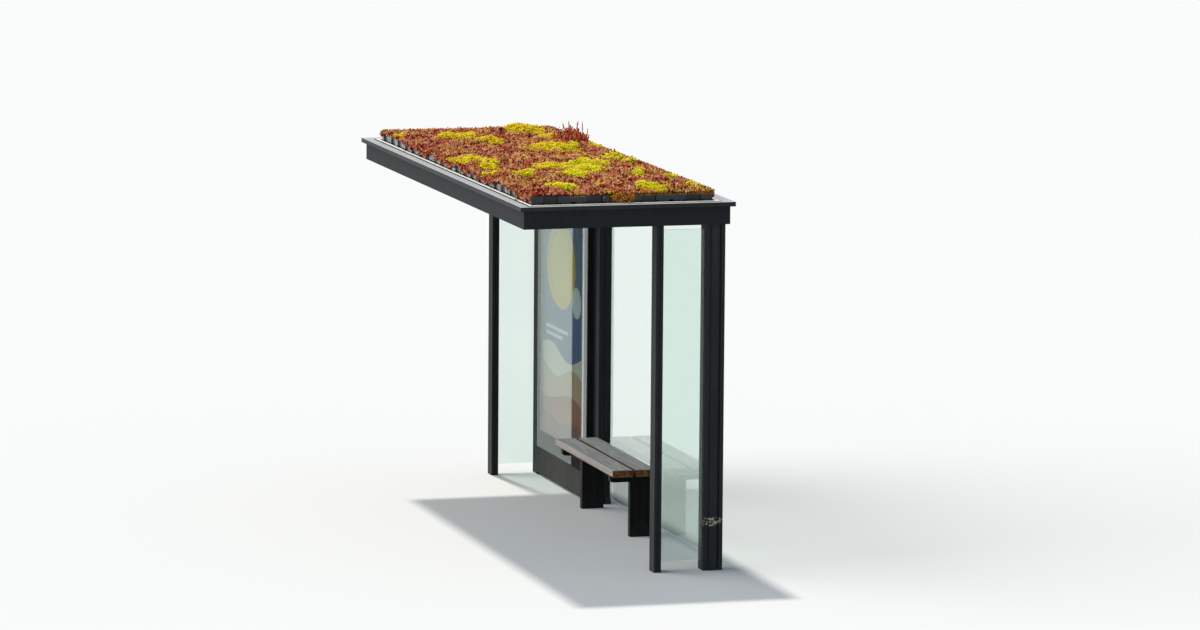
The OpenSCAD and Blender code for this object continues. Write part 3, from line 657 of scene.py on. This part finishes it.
columns = int(2 * field_x / cover_step)
rows = int(2 * field_y / cover_step)
x, y = np.meshgrid(np.linspace(-field_x, field_x, columns), np.linspace(-field_y, field_y, rows))
x, y = x.ravel(), y.ravel()
inside = np.minimum(field_x - np.abs(x), field_y - np.abs(y))
lumps = lattice_noise(x, y, 0.028, 3) + 0.5 * lattice_noise(x, y, 0.013, 4)
low_edge = np.clip(inside / cover_edge_w, 0.0, 1.0)
lowest = tray_rim + cover_edge_h
z = lowest + low_edge * np.maximum(
    hill_at(x, y) - lowest - cover_drop + (lumps - 0.75) * cover_bumps, 0.0)
moss, tree, shader = new_material("moss_cover", Specular_IOR_Level=0.15, Roughness=0.9)
patches = object_noise(tree, 3.2, detail=3.0, roughness=0.6)
tufts = object_noise(tree, 190.0, detail=3.0, roughness=0.65)
# Painted shade: the mat's dark brown with near black specks is partly its own colour and partly
# stands for the shade in the gaps between the shoots.
ground = blend_colour(tree, span(tree, patches, 0.40, 0.62), srgb(80, 32, 18), srgb(108, 60, 22))
ground = blend_colour(tree, span(tree, tufts, 0.35, 0.66), ground, srgb(36, 16, 8))
wire(tree, ground, shader, "Base Color")
bump_from(tree, shader, tufts, 0.9, 0.004)
cover = mesh_object("sedum_ground_cover", *closed_mat(
    columns, rows, np.stack([x, y, z], axis=1), tray_rim + cover_foot), moss)
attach(cover, "root")
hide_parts("sedum_front", "sedum_back")


# Stonecrop: thousands of short fleshy shoots, brick red, pink and rust brown, with yellow flowers
# in raised domes where a clump is in bloom. Each shoot is a small closed bud with a ring of leaf
# tips below its top.
shoot_step, shoot_tips = 0.0138, 4
shoot_w, shoot_h, shoot_lean = (0.011, 0.020), (0.022, 0.036), 0.28
bloom_step, bloom_tips, bloom_margin = 0.0115, 5, 0.01
bloom_w, bloom_flat, bloom_rise, bloom_lean = (0.011, 0.018), 0.62, 0.003, 0.30
# The clumps in bloom, each with its middle and its half-width
clumps = np.array([
    [-1.74, 0.38, 0.165], [-1.46, -0.23, 0.160], [-1.62, -0.59, 0.050], [-1.28, 0.385, 0.070],
    [-1.12, -0.07, 0.120], [-0.83, 0.47, 0.040], [-0.67, 0.59, 0.045], [-0.55, 0.24, 0.170],
    [0.09, 0.51, 0.080], [0.10, -0.53, 0.155], [0.20, -0.41, 0.070], [0.35, 0.53, 0.060],
    [0.40, 0.25, 0.105], [0.47, -0.09, 0.110], [0.50, -0.49, 0.070], [0.63, 0.11, 0.175],
    [0.84, -0.575, 0.065], [0.95, -0.38, 0.085], [0.96, -0.02, 0.120], [1.12, 0.37, 0.070],
    [1.34, 0.54, 0.045], [1.74, -0.34, 0.115], [1.77, 0.57, 0.060], [1.86, 0.24, 0.100],
])
clump_stretch = 1.5
clump_fray = 1.1
bloom_starts = 0.14
relief_h = 0.042
relief_cells, fray_cells, patch_cells = (0.034, 0.018), (0.07, 0.028), (0.24, 0.08)
edge_w, edge_lean, edge_pull, edge_sink = 0.03, 0.8, 0.010, 0.002
left_ends, mid_ends = -0.72, 0.62


def ragged_noise(x, y, coarse, fine, seed):
    """Noise from 0 to 1 with two sizes of lump: six tenths coarse and four tenths fine."""
    return lattice_noise(x, y, coarse, seed) * 0.6 + lattice_noise(x, y, fine, seed + 1) * 0.4


def relief_at(x, y):
    """Small rises and hollows among the shoots, from -0.5 to 0.5."""
    return ragged_noise(x, y, *relief_cells, 10) - 0.5


def bloom_share(x, y):
    """How far a place lies inside a flowering clump: 1 less its distance over the half-width, with
    the outline frayed by noise."""
    along = (x[:, None] - clumps[:, 0]) / (clumps[:, 2] * clump_stretch)
    across = (y[:, None] - clumps[:, 1]) / clumps[:, 2]
    reach = 1.0 - np.sqrt(along ** 2 + across ** 2).min(axis=1)
    return reach + (ragged_noise(x, y, *fray_cells, 5) - 0.5) * clump_fray


def buds(places, axes, widths, heights, tips, seed, ring_level=0.55, hollow=0.55):
    """Closed buds, all at once: a foot, a ring of leaf tips with hollows between them at a level up
    the bud, and a top. Every point of the ring is moved a little at random, and the bud is
    stretched along its axis. With the points come the triangles, each point's nearness to a leaf
    tip, and the number of points in a bud."""
    draw = np.random.default_rng(seed)
    count, around = len(places), 2 * tips
    pointed = np.arange(around) % 2 == 0
    turn = draw.random(count)[:, None] * 2 * np.pi
    angles = turn + np.arange(around) * np.pi / tips + draw.normal(0, 0.12, (count, around))
    radii = np.where(pointed, 1.0, hollow) * draw.uniform(0.75, 1.2, (count, around))
    levels = ring_level * np.where(pointed, 1.12, 0.85) * draw.uniform(0.8, 1.2, (count, around))
    ring = np.stack([np.cos(angles) * radii, np.sin(angles) * radii, levels], axis=-1)
    top = np.concatenate([draw.normal(0, 0.15, (count, 1, 2)), np.ones((count, 1, 1))], axis=-1)
    unit = np.concatenate([np.zeros((count, 1, 3)), ring, top], axis=1)
    unit[:, :, :2] *= (widths / 2)[:, None, None]
    unit[:, :, 2] *= heights[:, None]
    axes = axes / np.linalg.norm(axes, axis=1, keepdims=True)
    helper = np.where(np.abs(axes[:, :1]) < 0.9, [[1.0, 0.0, 0.0]], [[0.0, 1.0, 0.0]])
    first = np.cross(helper, axes)
    first /= np.linalg.norm(first, axis=1, keepdims=True)
    second = np.cross(axes, first)
    points = (unit[:, :, :1] * first[:, None] + unit[:, :, 1:2] * second[:, None]
              + unit[:, :, 2:] * axes[:, None] + places[:, None])
    ring_at = 1 + np.arange(around)
    ring_next = 1 + (np.arange(around) + 1) % around
    below = np.stack([np.zeros(around, int), ring_next, ring_at], axis=1)
    above = np.stack([ring_at, ring_next, np.full(around, around + 1)], axis=1)
    size = around + 2
    one = np.concatenate([below, above])
    faces = (one[None] + (np.arange(count) * size)[:, None, None]).reshape(-1, 3)
    # Nearness to a leaf tip: 0 at the foot, 0.4 in the hollows, 1 at the tips and 0.75 on top; the
    # leaf shading paints shade low down and highlights at the tips from it.
    leaf = np.concatenate([[0.0], np.where(pointed, 1.0, 0.4), [0.75]])
    return points.reshape(-1, 3), faces, np.tile(leaf, count), size


def plant_object(name, made, tones, pales, material):
    """An object of buds with three values on its points: the bud's place on its colour ramp, how pale
    it is, which sets its painted highlight and shade, and how near the point is to a leaf's tip,
    which sets the painted shade down in the bud."""
    points, faces, leaf, size = made
    plant = mesh_object(name, points, faces, material)
    stored = {"tone": np.repeat(tones, size), "pale": np.repeat(pales, size), "leaf": leaf}
    for label, values in stored.items():
        layer = plant.data.attributes.new(label, "FLOAT", "POINT")
        layer.data.foreach_set("value", values.astype(np.float32))
    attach(plant, "root")


def jittered(step, seed, margin=0.0):
    """Places on a square grid over the planted field, each moved at random within its cell."""
    draw = np.random.default_rng(seed)
    xs = np.arange(-field_x + margin, field_x - margin, step)
    ys = np.arange(-field_y + margin, field_y - margin, step)
    x, y = np.meshgrid(xs, ys)
    x = x.ravel() + draw.uniform(-0.5, 0.5, x.size) * step
    y = y.ravel() + draw.uniform(-0.5, 0.5, y.size) * step
    return np.clip(x, -field_x, field_x), np.clip(y, -field_y, field_y)


def read_value(tree, label):
    """Output of a value that is stored on the mesh's points."""
    return add_node(tree, "ShaderNodeAttribute", attribute_name=label).outputs["Fac"]


# Painted light and shade on the plants: buds of low paleness are darkened towards the shade colour,
# pale buds are lightened towards the pale colour at their leaf tips as a painted highlight, and every
# bud darkens towards its foot and the hollows between its leaves as painted shade.
shading, sockets, result = new_group("leaf_shading", {
    "Colour": ("Color", (0.5, 0.1, 0.05, 1.0)), "Pale colour": ("Color", (1.0, 0.7, 0.4, 1.0)),
    "Shade colour": ("Color", (0.03, 0.005, 0.001, 1.0)), "Paleness": ("Float", 0.5),
    "Leaf": ("Float", 1.0), "Pale most": ("Float", 0.6), "Shade most": ("Float", 0.7),
    "Shade ends": ("Float", 0.72),
}, {"Colour": "Color"})
painted_shade_share = span(shading, sockets["Paleness"], 0.0, 0.40, sockets["Shade most"], 0.0)
painted_highlight_share = calc(shading, "MULTIPLY",
             span(shading, sockets["Paleness"], 0.62, 1.0, 0.0, sockets["Pale most"]),
             span(shading, sockets["Leaf"], 0.3, 0.8))
painted_foot_shade = span(shading, sockets["Leaf"], 0.0, sockets["Shade ends"], 0.95, 0.0)
leaf_tone = blend_colour(shading, painted_shade_share, sockets["Colour"], sockets["Shade colour"])
leaf_tone = blend_colour(shading, painted_highlight_share, leaf_tone, sockets["Pale colour"])
leaf_tone = blend_colour(shading, painted_foot_shade, leaf_tone, sockets["Shade colour"])
wire(shading, leaf_tone, result, "Colour")


def foliage(name, ramp, pale_colour, shade_colour, pale_most=0.6, shade_most=0.7, shade_ends=0.72,
            glow=0.0):
    """Fleshy leaves: a chart colour for each bud from a ramp, with painted light and shade: some buds
    lighter and some darker by their paleness, painted shade down in the plant and painted highlights
    at the tips. Light glows through petals by so much."""
    made, tree, shader = new_material(
        name, Roughness=0.55, Specular_IOR_Level=0.05, Subsurface_Weight=glow,
        Subsurface_Radius=(1.0, 0.75, 0.08), Subsurface_Scale=0.02)
    node = add_node(tree, "ShaderNodeValToRGB", {"Fac": read_value(tree, "tone")})
    while len(node.color_ramp.elements) < len(ramp):
        node.color_ramp.elements.new(1.0)
    for element, (place, colour) in zip(node.color_ramp.elements, ramp):
        element.position = place
        element.color = srgb(*colour)
    shaded = place_group(tree, shading, {
        "Colour": node.outputs["Color"],
        "Pale colour": srgb(*pale_colour), "Shade colour": srgb(*shade_colour),
        "Paleness": read_value(tree, "pale"), "Leaf": read_value(tree, "leaf"),
        "Pale most": pale_most, "Shade most": shade_most, "Shade ends": shade_ends,
    })
    wire(tree, shaded["Colour"], shader, "Base Color")
    bump_from(tree, shader, object_noise(tree, 500.0), 0.2, 0.0005)
    return made


x, y = jittered(shoot_step, 21)
draw = np.random.default_rng(22)
blooming = bloom_share(x, y)
tall = draw.uniform(*shoot_h, x.size)
wide = draw.uniform(*shoot_w, x.size)
lean = draw.normal(0, shoot_lean, (x.size, 2))
relief = relief_at(x, y)
rise = draw.normal(0.0, 0.005, x.size) + relief * relief_h
# Paleness of each shoot: raised on the relief and lowered in its hollows as painted light and shade,
# with a random share on top.
pales = np.clip(0.54 + relief * 2.1 + draw.normal(0.0, 0.38, x.size), 0.0, 1.0)
edge_x = np.clip((np.abs(x) - field_x + edge_w) / edge_w, 0, 1) * np.sign(x)
edge_y = np.clip((np.abs(y) - field_y + edge_w) / edge_w, 0, 1) * np.sign(y)
axes = np.stack([lean[:, 0] + edge_x * edge_lean, lean[:, 1] + edge_y * edge_lean,
                 np.ones(x.size)], axis=1)
foot = np.maximum(hill_at(x, y) - tall + rise, tray_rim - edge_sink)
places = np.stack([x - edge_x * edge_pull, y - edge_y * edge_pull, foot], axis=1)
patch = ragged_noise(x, y, *patch_cells, 7)
tones = np.clip((patch - 0.5) * 1.3 + 0.42 + draw.normal(0.0, 0.16, x.size), 0.0, 1.0)

red_ramp = (
    (0.0, (188, 50, 42)), (0.20, (216, 88, 68)), (0.40, (230, 128, 96)), (0.56, (222, 120, 54)),
    (0.72, (208, 122, 34)), (0.88, (228, 164, 46)), (1.0, (196, 170, 42)),
)
red_leaves = foliage("stonecrop_red", red_ramp, (255, 214, 166), (48, 15, 4), 0.85, 0.95)
green_ramp = (0.0, (176, 172, 24)), (0.5, (218, 206, 22)), (1.0, (248, 226, 20))
green_leaves = foliage("stonecrop_green", green_ramp, (252, 242, 70), (58, 54, 8), 0.6, 0.8, 0.6, 0.4)
under_bloom = blooming > bloom_starts
for number, (part, here) in enumerate((
    ("left", x < left_ends), ("mid", (x >= left_ends) & (x < mid_ends)), ("right", x >= mid_ends),
)):
    pick = here & ~under_bloom
    made = buds(places[pick], axes[pick], wide[pick], tall[pick], shoot_tips, 30 + number)
    plant_object("stonecrop_red_" + part, made, tones[pick], pales[pick], red_leaves)
made = buds(places[under_bloom], axes[under_bloom], wide[under_bloom], tall[under_bloom],
            shoot_tips, 34)
plant_object("stonecrop_green", made, draw.random(under_bloom.sum()), pales[under_bloom],
             green_leaves)

x, y = jittered(bloom_step, 41, bloom_margin)
draw = np.random.default_rng(42)
share = bloom_share(x, y)
open_flower = (share > bloom_starts) & (draw.random(x.size) < np.clip(share * 2.6, 0.3, 0.96))
flecks = np.clip(lattice_noise(x, y, 0.16, 9) - 0.5, 0, 1) * np.where(y < 0.1, 1.4, 0.9)
flecks = 0.014 + 0.16 * flecks
stray = (share <= bloom_starts) & (draw.random(x.size) < flecks)
pick = open_flower | stray
x, y, stray = x[pick], y[pick], stray[pick]
wide = draw.uniform(*bloom_w, x.size)
axes = np.concatenate([draw.normal(0, bloom_lean, (x.size, 2)), np.ones((x.size, 1))], axis=1)
relief = relief_at(x, y)
places = np.stack([x, y, hill_at(x, y) + bloom_rise + relief * relief_h], axis=1)
# Paleness of each flower: raised on the relief and lowered in its hollows as painted light and shade,
# with a random share on top.
pales = np.clip(0.60 + relief * 1.9 + draw.normal(0.0, 0.38, x.size), 0.0, 1.0)
golden = np.clip(0.75 - 0.45 * (x + 0.5) + 0.6 * (0.2 - y), 0.0, 1.0)
tones = np.clip(0.55 * golden + draw.uniform(0.0, 0.45, x.size) + 0.35 * stray, 0.0, 1.0)
yellow_ramp = (
    (0.0, (246, 238, 10)), (0.3, (255, 236, 6)), (0.65, (255, 216, 4)),
    (0.85, (255, 186, 10)), (1.0, (250, 152, 16)),
)
yellow = foliage("stonecrop_flower", yellow_ramp, (255, 250, 110), (92, 74, 4), 0.5, 0.85, 0.5, 0.55)
made = buds(places, axes, wide, wide * bloom_flat, bloom_tips, 43, 0.45, 0.5)
plant_object("stonecrop_flowers", made, tones, pales, yellow)


# Overhang of the planted roof: shoots that hang over the rims of the trays in uneven tufts, and red
# sprigs that lie on the edging and in the strip beside the trays.
hang_step = 0.0105
hang_least, hang_most = 0.006, 0.040
hang_inset, hang_depth, hang_rise = 0.004, 0.006, 0.004
hang_cells, hang_bare, hang_slope, hang_turn = (0.17, 0.05), 0.42, 3.0, 14
# The loose sprigs, with their heights above the trays' foot
sprigs = np.array([
    [1.973, -0.393, 0.010], [2.000, -0.313, 0.012], [2.020, 0.017, 0.016], [2.055, 0.020, 0.032],
    [2.070, 0.030, 0.032], [2.006, -0.174, 0.067], [2.006, -0.119, 0.060], [1.762, -0.652, 0.032],
    [1.752, -0.648, 0.032], [2.040, -0.005, 0.010], [-1.20, -0.655, 0.032], [-0.40, 0.652, 0.032],
]) + (0.0, 0.0, tray_foot)


def hanging(half, fixed, seed, along_x):
    """Places and axes of shoots that hang down a tray's outer face, on a grid along the face and
    down it; noise along the face says how far down they reach."""
    draw = np.random.default_rng(seed)
    run, drop = np.meshgrid(np.arange(-half, half, hang_step), np.arange(0.0, hang_most, hang_step))
    run = run.ravel() + draw.uniform(-0.5, 0.5, run.size) * hang_step
    drop = drop.ravel() + draw.uniform(-0.5, 0.5, drop.size) * hang_step
    reach = (ragged_noise(run, run * 0, *hang_cells, seed) - hang_bare) * hang_slope
    keep = drop < hang_least + np.clip(reach, 0.0, 1.0) * hang_most
    run, drop = run[keep], drop[keep]
    side = np.sign(fixed)
    out = np.abs(fixed) - hang_inset + draw.uniform(0.0, hang_depth, run.size)
    lean = draw.normal(0, 0.35, run.size)
    level = tray_rim + hang_rise - np.clip(drop, 0.0, None)
    order = [0, 1, 2] if along_x else [1, 0, 2]
    places = np.stack([run, side * out, level], axis=1)
    axes = np.stack([lean, np.full(run.size, side), 0.35 - drop * hang_turn], axis=1)
    return places[:, order], axes[:, order]


def small_plants(name, parts, widths, heights, draw, seed, tone_most, material):
    """An object of buds from pairs of places and axes, with widths, heights, tones and paleness
    drawn at random in a range."""
    places, axes = (np.concatenate(values) for values in zip(*parts))
    count = len(places)
    made = buds(places, axes, draw.uniform(*widths, count), draw.uniform(*heights, count),
                shoot_tips, seed)
    plant_object(name, made, draw.random(count) * tone_most, draw.random(count), material)


parts = [hanging(face_x, -face_y, 61, True), hanging(face_x, face_y, 63, True),
         hanging(face_y, -face_x, 65, False)]
draw = np.random.default_rng(67)
parts.append((sprigs, np.concatenate([draw.normal(0, 1.0, (len(sprigs), 2)),
                                      np.full((len(sprigs), 1), 0.25)], axis=1)))
small_plants("stonecrop_overhang", parts, (0.010, 0.017), (0.014, 0.026), draw, 68, 0.75, red_leaves)


# Tall stonecrop: a dense tuft of upright shoots at the back edge, towards the far end, with a few
# thin stalks above it, and three small groups of stalks further along. Each group has its middle,
# its spread, its number, and its least and most height and width.
stalk_groups = (
    ((-1.02, 0.550), (0.055, 0.055), 90, (0.046, 0.074), (0.009, 0.014)),
    ((-1.04, 0.560), (0.060, 0.060), 9, (0.095, 0.150), (0.007, 0.009)),
    ((-0.21, 0.600), (0.022, 0.022), 5, (0.030, 0.056), (0.008, 0.013)),
    ((0.33, 0.585), (0.022, 0.022), 6, (0.030, 0.056), (0.008, 0.013)),
    ((0.93, 0.480), (0.022, 0.022), 5, (0.030, 0.056), (0.008, 0.013)),
)
stalk_top = cad_high.z + 0.066
stalk_sink = 0.012
stalk_lean = 0.20

stalk_at, tall, wide = (np.concatenate(values) for values in zip(*(
    (np.array(middle) + draw.normal(0, spread, (number, 2)), draw.uniform(*heights, number),
     draw.uniform(*widths, number))
    for middle, spread, number, heights, widths in stalk_groups
)))
count = len(stalk_at)
stalk_at[:, 1] = np.minimum(stalk_at[:, 1], face_y - draw.uniform(0.004, 0.04, count))
low = hill_at(stalk_at[:, 0], stalk_at[:, 1]) - stalk_sink
tall = np.minimum(tall, stalk_top - low)
places = np.concatenate([stalk_at, low[:, None]], axis=1)
axes = np.concatenate([draw.normal(0, stalk_lean, (count, 2)), np.ones((count, 1))], axis=1)
made = buds(places, axes, wide, tall, shoot_tips, 70, 0.8, 0.5)
plant_object("stonecrop_stalks", made, 0.1 + draw.random(count) * 0.55,
             0.3 + draw.random(count) * 0.6, red_leaves)


# Moss cushions: orange-brown moss along the rims at the trays' ends, and a thick round pad of it
# over the gap between the two rows. Each cushion is a small closed bud.
# Bands of moss: the end's face, the first and last place across it, and the number of cushions
moss_bands = (
    (face_x, 0.060, 0.618, 620), (face_x, 0.535, 0.620, 120), (face_x, -0.37, -0.225, 170),
    (-face_x, -0.40, -0.10, 220), (-face_x, 0.25, 0.55, 220),
)
band_low, band_high = -0.014, 0.010
band_out, band_in = -0.001, 0.012
pad_half_w, pad_half_h, pad_number = 0.078, 0.036, 330
pad_drop, pad_inset, pad_bulge = 0.024, 0.012, 0.044

draw = np.random.default_rng(72)
parts = []
for end, first, last, number in moss_bands:
    side = np.sign(end)
    level = tray_rim + draw.uniform(band_low, band_high, number)
    out = end - side * draw.uniform(band_out, band_in, number)
    parts.append((
        np.stack([out, draw.uniform(first, last, number), level], axis=1),
        np.stack([np.full(number, side * 0.6), draw.normal(0, 0.4, number), np.ones(number)], axis=1),
    ))
for side in (1.0, -1.0):
    turn = draw.uniform(0.0, 2 * np.pi, pad_number)
    reach = np.sqrt(draw.uniform(0.0, 1.0, pad_number)) * draw.uniform(0.85, 1.12, pad_number)
    across, upward = np.cos(turn) * reach, np.sin(turn) * reach
    bulge = np.sqrt(np.clip(1.0 - 0.75 * reach ** 2, 0.0, 1.0))
    bulge = bulge + lattice_noise(across, upward, 0.4, 75) * 0.5 - 0.25
    parts.append((
        np.stack([side * (face_x - pad_inset + pad_bulge * bulge), across * pad_half_w,
                  tray_rim - pad_drop + upward * pad_half_h], axis=1),
        np.stack([np.full(pad_number, side), across * 0.8, upward * 0.8 + 0.2], axis=1),
    ))
moss_ramp = (
    (0.0, (206, 112, 30)), (0.45, (244, 150, 48)), (0.8, (252, 182, 84)), (1.0, (226, 184, 70)),
)
moss_leaves = foliage("rim_moss", moss_ramp, (255, 210, 130), (86, 40, 12), 0.6, 0.7, 0.6, 0.35)
small_plants("rim_moss_cushions", parts, (0.008, 0.014), (0.010, 0.017), draw, 73, 1.0, moss_leaves)


# Plants in the gap: red shoots that grow out of the moss pad at both ends, and a few yellow flowers
# on the rim beside it at the near end.
gap_half_w, gap_half_h, gap_number = 0.052, 0.034, 46
gap_drop, gap_out, gap_depth = 0.018, 0.018, 0.012
flower_number = 34
flower_across, flower_in, flower_rise = (-0.118, -0.062), (-0.006, 0.016), (0.0, 0.012)

parts = []
for side in (1.0, -1.0):
    at = draw.uniform(-1.0, 1.0, (gap_number, 2))
    out = face_x + gap_out + draw.uniform(0, gap_depth, gap_number)
    parts.append((
        np.stack([side * out, at[:, 0] * gap_half_w,
                  tray_rim - gap_drop + at[:, 1] * gap_half_h], axis=1),
        np.stack([np.full(gap_number, side), at[:, 0], at[:, 1] * 0.6 + 0.3], axis=1),
    ))
small_plants("stonecrop_in_the_gap", parts, (0.010, 0.015), (0.012, 0.020), draw, 76, 0.6, red_leaves)

places = np.stack([face_x - draw.uniform(*flower_in, flower_number),
                   draw.uniform(*flower_across, flower_number),
                   tray_rim + draw.uniform(*flower_rise, flower_number)], axis=1)
axes = np.stack([np.full(flower_number, 0.5), draw.normal(0, 0.4, flower_number),
                 np.ones(flower_number)], axis=1)
small_plants("stonecrop_gap_flowers", [(places, axes)], (0.010, 0.015), (0.014, 0.020), draw, 77, 0.4,
             yellow)


# Bench: two planks of hardwood, greyed by the weather, with their edges rounded over, on two legs
# and arms of black coated steel. The grain runs along the planks. The cut ends and the sides that
# face each other stay red brown.
plank_low, plank_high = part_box("bench_plank_front")
plank_middle = (plank_low.z + plank_high.z) / 2
seam_middle = (plank_high.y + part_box("bench_plank_back")[0].y) / 2
seam_reach = 0.016

timber, tree, shader = new_material("weathered_wood", Specular_IOR_Level=0.1)
facing, at = own_axes(tree, "Normal"), own_axes(tree)
end_grain = span(tree, calc(tree, "ABSOLUTE", facing["X"]), 0.4, 0.8)
from_seam = calc(tree, "ABSOLUTE", calc(tree, "SUBTRACT", at["Y"], seam_middle))
in_seam = span(tree, from_seam, seam_reach * 0.6, seam_reach, 1.0, 0.0)
fibres = object_noise(tree, 1.0, (5.0, 320.0, 320.0), 4.0, 0.65)
bands = object_noise(tree, 1.0, (1.6, 42.0, 42.0), 4.0, 0.6)
spots = span(tree, object_noise(tree, 34.0, (0.35, 1.0, 1.0), 4.0, 0.7), 0.52, 0.66)
cracks = span(tree, object_noise(tree, 1.0, (2.5, 150.0, 150.0), 2.0), 0.60, 0.66)
grey = blend_colour(tree, span(tree, bands, 0.30, 0.70), srgb(160, 159, 158), srgb(198, 196, 194))
rounded = span(tree, calc(tree, "SUBTRACT", at["Y"], plank_low.y), 0.004, 0.016, 1.0, 0.0)
worn_low = span(tree, calc(tree, "SUBTRACT", at["Z"], plank_low.z), 0.002, 0.014, 1.0, 0.0)
stained = calc(tree, "MULTIPLY", worn_low, span(tree, spots, 0.0, 1.0, 0.75, 0.35))
for share, most, tone in (
    (span(tree, fibres, 0.46, 0.64), 0.5, srgb(116, 112, 109)),
    (spots, 0.3, srgb(226, 224, 221)),
    (cracks, 0.55, srgb(54, 46, 42)),
    (rounded, 0.5, srgb(170, 158, 149)),
    (stained, 1.0, srgb(132, 86, 58)),
    (in_seam, 1.0, srgb(62, 34, 22)),
):
    grey = blend_colour(tree, calc(tree, "MULTIPLY", share, most), grey, tone)
rings = object_noise(tree, 1.0, (1.0, 30.0, 70.0), 3.0)
sawn = blend_colour(tree, span(tree, rings, 0.36, 0.66), srgb(172, 116, 72), srgb(104, 64, 42))
rim = calc(tree, "ABSOLUTE", calc(tree, "SUBTRACT", at["Z"], plank_middle))
sawn = blend_colour(tree, span(tree, rim, 0.016, 0.022, 0.0, 0.6), sawn, srgb(188, 130, 84))
wire(tree, blend_colour(tree, end_grain, grey, sawn), shader, "Base Color")
wire(tree, span(tree, fibres, 0.3, 0.7, 0.62, 0.85), shader, "Roughness")
bump_from(tree, shader, calc(tree, "MULTIPLY_ADD", cracks, -0.6, fibres), 0.6, 0.0015)
dress(timber, "bench_plank_front", "bench_plank_back")
dress(painted("bench_steel", srgb(24, 26, 27), 0.07, 0.18, 0.5), "bench_leg_left", "bench_leg_right",
      "bench_arm_left", "bench_arm_right")
